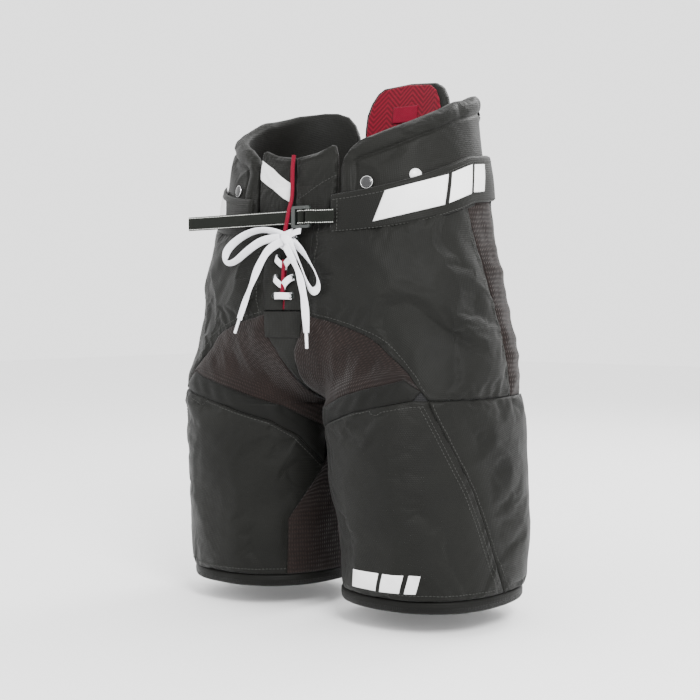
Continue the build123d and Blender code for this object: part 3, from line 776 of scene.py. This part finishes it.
def tube(name, side, u_range, rows_of_h, depths, size, half_only=True, seed=1, closed=False):
    """A lining wall between two depths over a stretch of the surface."""
    u = np.linspace(*u_range, size[0])
    h = np.linspace(0, 1, size[1])[:, None]
    low, high = rows_of_h(u)
    grid_h = low[None] + (high - low)[None] * h
    grid_u = np.broadcast_to(u, grid_h.shape)
    base, normal, _, uvs = grid_facts(grid_u, grid_h, depths[0])
    quilt = 0.8 * smooth_noise(base, 30, seed)
    inner = base - normal * (depths[1] - depths[0] + quilt)[..., None]
    return two_skins(name, base, inner, uvs, side, False)


for side, word in SIDES:
    dress(hem(side, word), word + "_leg", "shell", TRIM_CLOTH, word + "_hem_binding")
    lining = tube(word + "_leg_lining", side, (0, 1), lambda u: (u * 0 + 9, u * 0 + 214), (13.2, 17), (140, 60))
    dress(lining, word + "_leg", "lining", INNER, word + "_leg_liner")

# ================================================================ hips, seat and groin
SIDE_FRONT = [at_y(22, SIDE_SEAM), at_y(12, 300), at_y(2, 380), at_y(-8, belt_middle(-8) - 10)]
SIDE_BACK = [at_y(74, SIDE_SEAM), at_y(68, 300), at_y(60, 380), at_y(52, belt_middle(52) - 10)]
BACK_CENTRE = [(1.0, 236.0), (1.0, 300.0), (1.0, 470.0)]

for side, word in SIDES:
    belt_low = belt_line(-100, -8, -10)
    hip = panel(
        word + "_hip_panel", side,
        (
            [*GROIN_TOP, DIAGONAL_TOP, at_y(-40, SIDE_SEAM), SIDE_FRONT[0]],
            [at_x(33, 424), *belt_low],
            FLY_SIDE, SIDE_FRONT,
        ),
        (130, 110), puff=2.0, seed=41 + side, rough=1.2, growth=0.035,
        folds=[
            (at_x(50, 400), at_x(110, 330), 9, -2.4), (at_x(70, 408), at_x(140, 350), 10, 2.2),
            (at_x(44, 380), at_x(80, 322), 8, 1.8), (at_y(-70, 400), at_y(-20, 300), 16, -2.2),
            (at_y(-50, 420), at_y(0, 330), 16, 2.2), (at_y(-60, 290), at_y(20, 250), 10, -2.0),
            (at_y(-40, 270), at_y(12, 240), 8, 1.8),
        ],
    )
    crossing(hip, word, "shell", SHELL_CLOTH, word + "_hip_shell")

    groin = panel(
        word + "_groin_stretch_panel", side,
        (GROIN_LOW, GROIN_TOP, [GROIN_LOW[0], *GUSSET_SIDE[1:]], [GROIN_TIP, GROIN_TIP]),
        (120, 60), puff=1.2, rough=1.4, seed=51 + side,
        folds=[(at_x(24 + 17 * i, 240 + 3 * i), at_x(38 + 16 * i, 306 - 7 * i), 5, (-1) ** i * 1.7) for i in range(6)],
    )
    crossing(groin, word, "knit", KNIT, word + "_groin_stretch")

    ruffles = [
        (at_y(14, 244 + 24 * i + 5 * (i % 2)), at_y(64, 250 + 24 * i - 4 * (i % 3)), 6.5, 3.2 if i % 2 else 2.4)
        for i in range(9)
    ]
    stretch = panel(
        word + "_side_stretch_panel", side, (
            [SIDE_FRONT[0], at_y(48, SIDE_SEAM), SIDE_BACK[0]],
            [SIDE_FRONT[-1], SIDE_BACK[-1]], SIDE_FRONT, SIDE_BACK,
        ),
        (36, 120), puff=0.4, rough=1.5, folds=ruffles, seed=61 + side,
    )
    crossing(stretch, word, "knit", KNIT, word + "_side_stretch")

    seat = panel(
        word + "_seat_panel", side,
        (
            [SIDE_BACK[0], (0.80, 222), (0.86, 214), (0.93, 222), BACK_CENTRE[0]],
            [SIDE_BACK[-1], at_y(100, 460), BACK_CENTRE[-1]], SIDE_BACK, BACK_CENTRE,
        ),
        (90, 110), puff=2.0, rough=1.3, seed=71 + side, growth=0.035,
        folds=[((0.84, 270), (0.96, 330), 12, -2.2), ((0.85, 400), (0.95, 380), 12, 2.0)],
    )
    crossing(seat, word, "shell", SHELL_CLOTH, word + "_seat_shell")

# ================================================================ belt and the pads above it
def at_back_x(x, h):
    """(u, h) of the point on the back at an X; u is above 1 on the wearer's right."""
    line = surface(SEARCH[800:], h)[:, 0]
    u = float(np.interp(-abs(x), -line, SEARCH[800:]))
    return (u if x >= 0 else 2 - u), h


def belt_at(u, offset):
    """(u, h) on the belt, that far above its middle line."""
    h = 460.0
    for _ in range(8):
        h = belt_middle(float(surface(u, h)[1])) + offset
    return u, h


BELT_START = at_x(56, 424)[0]
BELT_FULL = at_y(-20, 460)[0]


def belt_half(u):
    """Half the belt's height: it widens from its front ends to the sides."""
    from_end = min(u, 2 - u) - BELT_START
    return 20.5 + 5.5 * min(1.0, from_end / (BELT_FULL - BELT_START))


belt_turn = np.linspace(BELT_START, 2 - BELT_START, 120)
belt = pillow(
    "belt_band", 1,
    (
        [belt_at(u, -belt_half(u)) for u in belt_turn], [belt_at(u, belt_half(u)) for u in belt_turn],
        [belt_at(belt_turn[0], -belt_half(BELT_START)), belt_at(belt_turn[0], belt_half(BELT_START))],
        [belt_at(belt_turn[-1], -belt_half(BELT_START)), belt_at(belt_turn[-1], belt_half(BELT_START))],
    ),
    (-6.0, -1.0), (340, 28), rough=0.7, seed=81, puff=0.8,
)
dress(belt, "girdle", "shell", BELT_CLOTH, "waist_belt")

HIP_PAD_TOP = [
    at_x(63, 474), at_x(67, 489), at_x(75, 500), at_x(88, 509), at_x(110, 518), at_y(-58, 529), at_y(-26, 542),
    at_y(10, 555), at_y(60, 567), at_y(90, 572), at_back_x(104, 572), at_back_x(90, 567), at_back_x(80, 556),
    at_back_x(74, 541),
]
HIP_PAD_DEPTHS = (3.0, 16.5)


def hip_pad_borders():
    low = [at_x(62, 408), at_x(110, 408), at_y(-40, 420), at_y(20, 430), at_y(90, 444), at_back_x(73, 448)]
    return (
        low, HIP_PAD_TOP[1:], [low[0], at_x(62, 440), *HIP_PAD_TOP[:2]], [low[-1], HIP_PAD_TOP[-1]],
    )


for side, word in SIDES:
    pad = pillow(
        word + "_hip_collar_pad", side, hip_pad_borders(), HIP_PAD_DEPTHS, (170, 80),
        rim=22.0, rim_rise=2.6, rim_sides="LT", seed=91 + side, puff=0.6, growth=0.02,
    )
    dress(pad, "girdle", "shell", SHELL_CLOTH, word + "_hip_pad")

    belly_top = along_x([(1.2, 492), (30, 496), (50, 503), (55, 502)])
    belly = pillow(
        word + "_belly_pad", side,
        (
            along_x([(1.2, 406), (58, 406)]), belly_top,
            along_x([(1.2, 406), (1.2, 492)]), along_x([(58, 406), (59, 470), (58, 492), (55, 502)]),
        ),
        (3.5, 12.5), (60, 70), seed=101 + side, puff=0.8, growth=0.02,
    )
    dress(belly, "girdle", "shell", SHELL_CLOTH, word + "_front_pad")



def spine_borders(inset):
    """The spine pad's four borders, drawn in by so many mm."""
    side_line = [(67, 456), (67, 548), (66, 566), (61, 581), (53, 593), (42, 600)]
    left = [at_back_x(x - inset, h + inset * (0.3 if h < 500 else -0.7)) for x, h in side_line]
    right = [(2 - u, h) for u, h in left]
    return (
        [left[0], (1.0, left[0][1]), right[0]], [left[-1], (1.0, left[-1][1] + 3.5), right[-1]], left, right,
    )


spine = pillow(
    "spine_pad", 1, spine_borders(0), (2.4, 16.5), (70, 80), rim=10.0, rim_rise=1.0, rim_sides="LRT", seed=111,
    growth=0.02,
)
dress(spine, "girdle", "shell", SHELL_CLOTH, "spine_cover", "spine_foam")
core = pillow("spine_plate_core", 1, spine_borders(12), (5.4, 8.2), (50, 60), rough=0.1, puff=0.1)
dress(core, "girdle", "plate", PLATE, "spine_plate")
spine_face = pillow("spine_lining_face", 1, spine_borders(3.5), (15.4, 19.6), (70, 80), seed=113, puff=0.2, rough=0.3)
dress(spine_face, "girdle", "lining", LINING, "spine_lining")

label_side = [at_back_x(x, h) for x, h in ((22, 553), (22, 574))]
label_far = [(2 - u, h) for u, h in label_side]
tag = pillow(
    "spine_tag", 1, ([label_side[0], label_far[0]], [label_side[1], label_far[1]], label_side, label_far),
    (19.9, 20.8), (24, 14), rough=0.1, puff=0.1,
)
dress(tag, "girdle", "piping", PIPING, "back_label")

PRINT_THICK = 0.5  # mm
PRINT_SUNK = 0.4  # mm below the cloth


def decal(name, side, borders, under, size=(30, 20)):
    """A thin printed piece that lies on another piece's outer face."""
    tree = BVHTree.FromPolygons([v.co for v in under.data.vertices], [p.vertices for p in under.data.polygons])
    u, h = coons(*borders, *size)
    base, normal, _, uvs = grid_facts(u, h, 0.0)
    outer, inner = base.copy(), base.copy()
    for i in np.ndindex(u.shape):
        out = normal[i] * (side, 1, 1)
        start = ((base[i] + normal[i] * 25.0) * (side, 1, 1) - (0, 0, WAIST)) * MM
        hit = tree.ray_cast(Vector(start), Vector(-out), 0.06)[0]
        if hit is not None:
            met = (np.array(hit) / MM + (0, 0, WAIST)) * (side, 1, 1)
            outer[i] = met + normal[i] * PRINT_THICK
            inner[i] = met - normal[i] * PRINT_SUNK
    return two_skins(name, outer, inner, uvs, side, False)


BAND_LOW = [(2.5, 442), (30, 458), (56, 472)]
BAND_HIGH = [(2.5, 463), (32, 482), (54, 493)]
front_tag = decal(
    "belly_tag", -1,
    (along_x(BAND_LOW), along_x(BAND_HIGH), along_x([BAND_LOW[0], BAND_HIGH[0]]), along_x([BAND_LOW[-1], BAND_HIGH[-1]])),
    bpy.data.objects["right_belly_pad"], (44, 20),
)
dress(front_tag, "girdle", "print", PRINT, "front_label")

# ---------------------------------------------------------------- plain slanted bars in place of marks
def belt_bar(start, wide, half):
    """A slanted bar on the belt: where it starts, its width along the belt and its half height."""
    slant = 9.0

    def corner(y, up):
        return at_y(y, belt_middle(y) + up)

    bottom = [corner(start, -half), corner(start + wide, -half)]
    top = [corner(start + slant, half), corner(start + wide + slant, half)]
    return bottom, top, [bottom[0], top[0]], [bottom[1], top[1]]


def thigh_bar(start, wide, half):
    """A slanted bar low on the thigh."""
    middle, slant = 33.0, 5.0
    bottom = along_x([(start, middle - half), (start + wide, middle - half)])
    top = along_x([(start + slant, middle + half), (start + wide + slant, middle + half)])
    return bottom, top, [bottom[0], top[0]], [bottom[1], top[1]]


def join(name, objects):
    """Makes one piece of several meshes."""
    points, faces, uvs = [], [], []
    for obj in objects:
        mesh = obj.data
        start = len(points)
        points.extend(tuple(v.co) for v in mesh.vertices)
        at = {loop.vertex_index: tuple(uv.uv) for loop, uv in zip(mesh.loops, mesh.uv_layers[0].data)}
        uvs.extend(at[i] for i in range(len(mesh.vertices)))
        faces.extend([start + i for i in polygon.vertices] for polygon in mesh.polygons)
        bpy.data.objects.remove(obj)
    return make_mesh(name, points, faces, np.array(uvs))


BELT_BARS = ((-97, 52, 15), (-40, 34, 15), (-1, 22, 15))
for side, word in SIDES:
    made = []
    for i, bar in enumerate(BELT_BARS):
        corners = belt_bar(*bar)
        made.append(decal(f"bar_{word}_{i}", side, corners, belt))
    dress(join(word + "_belt_bars", made), "girdle", "print", PRINT)
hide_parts("belt_badges")
THIGH_BARS = ((82, 34, 10), (121, 22, 10), (148, 11, 10))
left_thigh = bpy.data.objects["left_thigh_panel"]
made = [decal(f"thigh_bar_{i}", 1, thigh_bar(*bar), left_thigh) for i, bar in enumerate(THIGH_BARS)]
dress(join("thigh_bars", made), "left_leg", "print", PRINT, "leg_badge")

# ================================================================ fly
for side, word in SIDES:
    facing = panel(
        word + "_fly_facing", side,
        (along_x([(1.6, 322), (29, 322)]), along_x([(1.6, 424), (33, 424)]),
         along_x([(1.6, 322), (1.6, 424)]), [at_x(29, 322), *FLY_SIDE[1:]]),
        (34, 90), puff=0.9, sink=0.6, rough=0.7, seed=121 + side,
    )
    dress(facing, "girdle", "shell", SHELL_CLOTH, word + "_fly_panel")
patch_side = along_x([(25, 292), (28, 321)])
patch_far = [(-u, h) for u, h in patch_side]
fly_patch = panel(
    "fly_patch", 1,
    ([patch_far[0], patch_side[0]], [patch_far[1], patch_side[1]], patch_far, patch_side),
    (60, 34), puff=2.2, sink=-0.6, rough=0.8, seed=131,
)
dress(fly_patch, "girdle", "shell", SHELL_CLOTH)
gusset_side = along_x([(3, 240), (5, 250), (13, 278), (25, 300)])
gusset_far = [(-u, h) for u, h in gusset_side]
gusset = panel(
    "crotch_gusset_panel", 1,
    ([gusset_far[0], gusset_side[0]], [gusset_far[-1], gusset_side[-1]], gusset_far, gusset_side),
    (50, 50), puff=0.8, sink=0.8, rough=0.8, seed=133,
)
dress(gusset, "girdle", "shell", SHELL_CLOTH, "crotch_gusset")

tongue_side = along_x([(20, 322), (24, 404)])
tongue_far = [(-u, h) for u, h in tongue_side]
tongue = pillow(
    "fly_tongue_pad", 1,
    ([tongue_far[0], tongue_side[0]], [tongue_far[1], tongue_side[1]], tongue_far, tongue_side),
    (2.6, 6.0), (40, 50), seed=135, puff=0.4,
)
dress(tongue, "girdle", "piping", PIPING, "fly_tongue")

# ================================================================ strap, webbing and piping
low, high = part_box("belt_strap")
strap_y = (low.y + high.y) / 2
strap_z = (low.z + high.z) / 2
STRAP_WIDE = high.z - low.z
STRAP_THICK = 0.0017
VERTICAL = (0, 1, 0)
WEB_STITCH_EDGE = 0.0014


def webbing(name, body, node, line):
    """A run of webbing with a row of white stitches along each edge."""
    line = np.array(line)
    run = strip(name, line, STRAP_WIDE, STRAP_THICK, VERTICAL, sides=16)
    dress(run, body, "webbing", WEBBING, *([node] if node else []))
    rows = []
    for up in (-1, 1):
        edge = line + (0, 0, up * (STRAP_WIDE / 2 - WEB_STITCH_EDGE))
        out = np.cross(np.gradient(line, axis=0), (0, 0, 1))
        out /= np.linalg.norm(out, axis=1)[:, None]
        for face in (-1, 1):
            rows.append(edge + out * face * STRAP_THICK * 0.5)
    threads = dashes(name + "_stitches", rows, 0.0026, 0.0019, 0.00075)
    dress(threads, body, "webbing", WHITE_THREAD)


def dashes(name, lines, spacing, length, thick):
    """Stitches: short thread dashes along lines of points in metres."""
    points, faces, uvs = [], [], []
    for line in lines:
        line = np.asarray(line)
        far = np.concatenate([[0], np.cumsum(np.linalg.norm(np.diff(line, axis=0), axis=1))])
        starts = np.arange(spacing * 0.5, far[-1] - spacing * 0.5, spacing)
        for start in starts:
            centre = np.array([np.interp(start, far, line[:, k]) for k in range(3)])
            ahead = np.array([np.interp(start + length / 2, far, line[:, k]) for k in range(3)])
            along = (ahead - centre) / max(np.linalg.norm(ahead - centre), 1e-9)
            a = np.cross(along, (0.3, 0.2, 0.93))
            a /= np.linalg.norm(a)
            b = np.cross(along, a)
            first = len(points)
            for t, fat in ((-0.5, 0.35), (-0.3, 1.0), (0.3, 1.0), (0.5, 0.35)):
                for k in range(6):
                    ring = a * cos(k * pi / 3) + b * sin(k * pi / 3)
                    points.append(centre + along * length * t + ring * thick / 2 * fat)
                    uvs.append((k * 0.0004, t * length))
            for r in range(3):
                for k in range(6):
                    p, q = first + r * 6 + k, first + r * 6 + (k + 1) % 6
                    faces.append((p, q, q + 6, p + 6))
            faces.append(tuple(first + k for k in reversed(range(6))))
            faces.append(tuple(first + 18 + k for k in range(6)))
    return make_mesh(name, points, faces, np.array(uvs))


xs = np.linspace(low.x, high.x - 0.004, 90)
bow = 0.0007 * np.sin((xs - low.x) * 38)
tail_line = np.stack([xs, strap_y + bow, strap_z + 0 * xs - 0.0012 * np.clip(-xs / 0.15, 0, 1)], -1)
webbing("belt_strap_tape", "strap", "belt_strap", tail_line)
base_low, base_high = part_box("strap_webbing")
base_y = (base_low.y + base_high.y) / 2
base_xs = np.linspace(base_low.x, 0.018, 50)
webbing("strap_base_tape", "girdle", "strap_webbing", np.stack([base_xs, base_y + 0 * base_xs, strap_z + 0 * base_xs], -1))
buckle_low, buckle_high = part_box("buckle")
buckle_y = (buckle_low.y + buckle_high.y) / 2
bar_x = 0.037
loop_route = [
    (base_high.x, base_y), (0.056, base_y - 0.0002), (0.045, base_y - 0.0022), (bar_x + 0.003, buckle_y - 0.0030),
    (bar_x, buckle_y - 0.0034), (bar_x - 0.003, buckle_y - 0.0022), (bar_x - 0.0034, buckle_y + 0.0012),
    (bar_x + 0.002, buckle_y + 0.0036), (0.048, base_y + 0.0022), (0.060, base_y + 0.0022),
]
loop_line = follow([(x / MM, y / MM, strap_z / MM + WAIST) for x, y in loop_route])
webbing("strap_anchor_loop", "girdle", None, loop_line)
middle_x = 0.026
fold_route = [
    (middle_x - 0.0035, buckle_y + 0.0019), (middle_x - 0.0034, buckle_y - 0.0014), (middle_x, buckle_y - 0.0032),
    (middle_x + 0.0034, buckle_y - 0.0014), (middle_x + 0.0035, buckle_y + 0.0019),
]
fold_line = follow([(x / MM, y / MM, strap_z / MM + WAIST) for x, y in fold_route])
webbing("buckle_fold", "buckle", None, fold_line)

piping_low, piping_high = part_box("red_piping")
front_y = piping_low.y + 0.0012
pipe_x = (piping_low.x + piping_high.x) / 2
PIPE_ROUTE = [
    (2.5, -109.5, 494), (2.5, -111.6, 484), (2.8, -112.4, 468), (4.0, -114.0, 454), (6.6, -118.6, 443),
    (8.4, front_y / MM, 433), (7.0, front_y / MM - 0.6, 424), (4.0, front_y / MM, 415), (1.4, -124, 408), (0.6, -120, 402),
]
piping_line = follow(PIPE_ROUTE)
piping = strip("red_piping_cord", piping_line, 0.0048, 0.0032, FRONT, sides=16)
dress(piping, "girdle", "piping", PIPING, "red_piping")

# ================================================================ knot and the lacing across the eyelets
def blob_path(name, route, wide, thick, material, body="girdle", slot="lace", nodes=(), roll=0.0):
    line = follow(route)
    obj = strip(name, line, wide * MM, thick * MM, FRONT, np.full(len(line), roll))
    return dress(obj, body, slot, material, *nodes)


blob_path("lace_knot_wrap", [(0, -122, 406), (1, -128, 405), (8, -131.5, 402), (14, -130, 396), (17, -124, 393)],
          10, 3.4, LACE, nodes=["lace_knot"], roll=0.2)
blob_path("lace_knot_under", [(14, -123, 408), (9, -129, 406), (3, -130, 400), (2, -124, 393)], 10, 3.2, LACE, roll=-0.3)
blob_path("lace_knot_stub", [(8, -127, 402), (14, -128, 405), (21, -128, 408), (27, -127, 409)], 8.5, 1.6, LACE, roll=0.5)

EYELETS = (338.0, 358.0, 380.0, 400.0)
rungs = []
for h in EYELETS[1:]:
    for side in (-1, 1):
        y = -127 if h < 360 else -124.5 if h < 390 else -121
        rungs.append((side, h, y))
made = []
for side, h, y in rungs:
    route = [(side * 14.5, y + 5.5, h + 1), (side * 12.5, y, h), (side * 7, y - 1.4, h - 4), (side * 1.5, y - 0.4, h - 8.5),
             (side * -1.5, y + 5, h - 10.5)]
    line = follow(route)
    made.append(strip(f"rung_{h}_{side}", line, 7.5 * MM, 1.6 * MM, FRONT, np.full(len(line), side * 0.15)))
low_bar = [(-14.5, -121, 338), (-12.5, -127, 338), (-5, -128.4, 338.4), (5, -128.4, 338), (12.5, -127, 337.6), (14.5, -121, 337.6)]
made.append(strip("low_bar", follow(low_bar), 7.5 * MM, 1.6 * MM, FRONT))
dress(join("lace_crossings", made), "girdle", "lace", LACE, "lace_rungs")

# ================================================================ suspender buttons
BUTTON_PLACES = ((-96, 460), (-66, 468), (92, 548))


def lathe(name, profile, centre, axis, turns=40):
    """A round piece from (radius, height) points in mm, standing on a place along an axis."""
    axis = axis / np.linalg.norm(axis)
    a = np.cross(axis, (0, 0, 1.0))
    a /= np.linalg.norm(a)
    b = np.cross(axis, a)
    points, uvs, faces = [], [], []
    for radius, height in profile:
        for k in range(turns):
            t = 2 * pi * k / turns
            p = centre + (a * cos(t) + b * sin(t)) * radius + axis * height
            points.append(tuple((p - (0, 0, WAIST)) * MM))
            uvs.append((k * 0.001, height * MM))
    for r in range(len(profile) - 1):
        for k in range(turns):
            p, q = r * turns + k, r * turns + (k + 1) % turns
            faces.append((p, q, q + turns, p + turns))
    faces.append(tuple(reversed(range(turns))))
    faces.append(tuple(range((len(profile) - 1) * turns, len(profile) * turns)))
    return make_mesh(name, points, faces, np.array(uvs))


HEAD = [(5.0, -1.5), (6.4, -1.3), (6.8, -0.6), (6.7, 0.2), (6.0, 1.0), (4.4, 1.6), (2.4, 1.9), (0.6, 2.0)]
RING = [(6.5, -0.4), (7.0, -0.2), (7.1, 0.2), (6.8, 0.6), (6.4, 0.7), (6.1, 0.5), (6.1, 0.1), (6.3, -0.3)]
first = True
for side, word in SIDES:
    for i, (y, h) in enumerate(BUTTON_PLACES):
        u, h = at_y(y, h)
        centre = surface(u, h, -0.4 if i < 2 else -1.5) * (side, 1, 1)
        axis = outward(u, h) * (side, 1, 1)
        look = BUTTON_WHITE if i == 1 else BUTTON_BLACK
        button = lathe(f"{word}_button_{i}", HEAD, centre, axis)
        dress(button, "girdle", "hard_plastic", look, *(["suspender_buttons"] if first else []))
        first = False
        if i != 1:
            dress(lathe(f"{word}_button_ring_{i}", RING, centre, axis), "girdle", "hard_plastic", STEEL)

# ================================================================ girdle lining
girdle_wall = tube(
    "girdle_lining", 1, (at_x(6, 350)[0], 2 - at_x(6, 350)[0]), lambda u: (u * 0 + 300, 412 + 34 * np.sin(pi * u / 2) ** 2), (13.2, 17.0),
    (200, 50), seed=141,
)
dress(girdle_wall, "girdle", "lining", INNER, "girdle_liner")

slit_line = follow([(0.4, -124.6, 378), (0.9, -125.8, 366), (0.2, -126.6, 352), (0.0, -126.8, 342)])
dress(strip("fly_slit_edge", slit_line, 4.2 * MM, 3.0 * MM, FRONT), "girdle", "piping", PIPING)

# ================================================================ the layer behind the seams
BRIDGE_ROUTE = [(0, -112, 262), (0, -92, 240), (0, -50, 224), (0, 0, 219), (0, 52, 224), (0, 96, 240), (0, 116, 262)]
bridge = strip("crotch_bridge", follow(BRIDGE_ROUTE), 34 * MM, 2.0 * MM, (0, 0, 1), sides=16)
dress(bridge, "girdle", "shell", TRIM_CLOTH)
for side, word in SIDES:
    under = tube(
        word + "_seam_underlay", side, (0.0, 1.0), lambda u: (u * 0 + 176, u * 0 + 292), (2.4, 4.0), (200, 50), seed=151,
    )
    crossing(under, word, "lining", INNER)

# ================================================================ seam stitching
STITCH_SPACING = 4.2 * MM
STITCH_LONG = 3.0 * MM
STITCH_THICK = 0.75 * MM


def beside(line, offset):
    """A (u, h) line moved sideways by so many mm, to its left as it runs."""
    line = resample(line, 60) * (SIDE_SCALE, 1)
    along = np.gradient(line, axis=0)
    along /= np.linalg.norm(along, axis=1)[:, None]
    return (line + np.stack([-along[:, 1], along[:, 0]], -1) * offset) / (SIDE_SCALE, 1)


def on_panel(piece, side, line):
    """Lays a (u, h) line on a panel's outer face, in metres."""
    tree = BVHTree.FromPolygons([v.co for v in piece.data.vertices], [p.vertices for p in piece.data.polygons])
    laid = []
    for u, h in resample(line, 160):
        out = outward(u, h) * (side, 1, 1)
        start = (surface(u, h, -22.0) * (side, 1, 1) - (0, 0, WAIST)) * MM
        hit = tree.ray_cast(Vector(start), Vector(-out), 0.05)[0]
        if hit is not None:
            laid.append(np.array(hit) + out * STITCH_THICK * 0.2)
    return laid


def stitch(name, piece, side, lines, spacing=STITCH_SPACING):
    """Rows of stitches along (u, h) lines on a panel, as one piece."""
    rows = [on_panel(piece, side, line) for line in lines]
    return dashes(name, [row for row in rows if len(row) > 8], spacing, STITCH_LONG, STITCH_THICK)


for side, word in SIDES:
    find = bpy.data.objects
    leg = word + "_leg"
    thigh = find[word + "_thigh_panel"]
    hem_row = [at_inner_y(-66, 21), at_x(60, 21), at_x(115, 21), at_x(170, 21), at_y(-10, 21)]
    rows = [beside(DIAGONAL, 4.0), beside(DIAGONAL, 7.5), beside([*THIGH_SEAM, DIAGONAL_TOP], -4.5), hem_row]
    dress(stitch(word + "_thigh_stitches", thigh, side, rows), leg, "shell", THREAD)
    outside = find[word + "_outer_panel"]
    rows = [beside(DIAGONAL, -4.0), [at_y(8, 21), at_y(60, 21), (0.75, 21), (0.9, 21)]]
    dress(stitch(word + "_outer_stitches", outside, side, rows), leg, "shell", THREAD)
    hip = find[word + "_hip_panel"]
    rows = [beside(GROIN_TOP, 4.5), beside(FLY_SIDE, -4.0), beside(SIDE_FRONT, 4.5)]
    crossing(stitch(word + "_hip_stitches", hip, side, rows), word, "shell", THREAD)
    seat = find[word + "_seat_panel"]
    rows = [beside(SIDE_BACK, -4.5), beside(BACK_CENTRE, 4.5)]
    crossing(stitch(word + "_seat_stitches", seat, side, rows), word, "shell", THREAD)

belt_rows = [[belt_at(u, side * (belt_half(u) - 4.5)) for u in belt_turn] for side in (-1, 1)]
end_row = [belt_at(belt_turn[0] + 0.012, up) for up in np.linspace(-16, 16, 6)]
belt_laid = [on_panel(belt, 1, line) for line in [end_row, *belt_rows]]
dress(dashes("belt_stitches", belt_laid, STITCH_SPACING, STITCH_LONG, STITCH_THICK), "girdle", "shell", THREAD)

belly = bpy.data.objects["left_belly_pad"]
seam_line = along_x([(6, 446), (30, 460), (55, 473)])
belly_rows = [on_panel(belly, 1, seam_line)]
dress(dashes("belly_stitches", belly_rows, STITCH_SPACING, STITCH_LONG, STITCH_THICK), "girdle", "shell", THREAD)

# ================================================================ floor, light, finish
SLOT_LOOKS = {
    "shell": SHELL_CLOTH, "knit": KNIT, "lining": INNER, "foam": FOAM, "plate": PLATE, "print": PRINT,
    "piping": PIPING, "webbing": WEBBING, "hard_plastic": HARD, "eyelet": HARD, "lace": LACE,
}
slots = {part["node"]: part["material_slot"] for part in frame["record"]["subparts"]}
for node, obj in frame["nodes"].items():
    look = SLOT_LOOKS[slots[node]]
    if not obj.material_slots:
        obj.data.materials.append(look)
    for holder in obj.material_slots:
        holder.material = look

floor_mesh = bpy.data.meshes.new("floor")
reach = 6.0
floor_h = -0.475
floor_mesh.from_pydata([(-reach, -reach, floor_h), (reach, -reach, floor_h), (reach, reach, floor_h), (-reach, reach, floor_h)], [], [(0, 1, 2, 3)])
floor = link("floor", floor_mesh)
pale = Nodes("pale_floor", (0.93, 0.93, 0.93), 0.9)
floor.data.materials.append(pale.material)

world = bpy.data.worlds.new("studio")
world.use_nodes = True
world.node_tree.nodes["Background"].inputs["Color"].default_value = (1, 1, 1, 1)
world.node_tree.nodes["Background"].inputs["Strength"].default_value = 2.2
bpy.context.scene.world = world


def soft_light(name, spot, power, size):
    lamp = bpy.data.lights.new(name, "AREA")
    lamp.energy = power
    lamp.size = size
    obj = link(name, lamp)
    obj.location = spot
    obj.rotation_euler = (Vector((0, 0, -0.15)) - Vector(spot)).to_track_quat("-Z", "Y").to_euler()


soft_light("key_light", (1.8, -1.3, 1.3), 95, 0.8)
soft_light("fill_light", (-1.5, -1.9, 0.7), 10, 1.4)
soft_light("rim_light", (0.2, 2.0, 1.4), 40, 1.0)
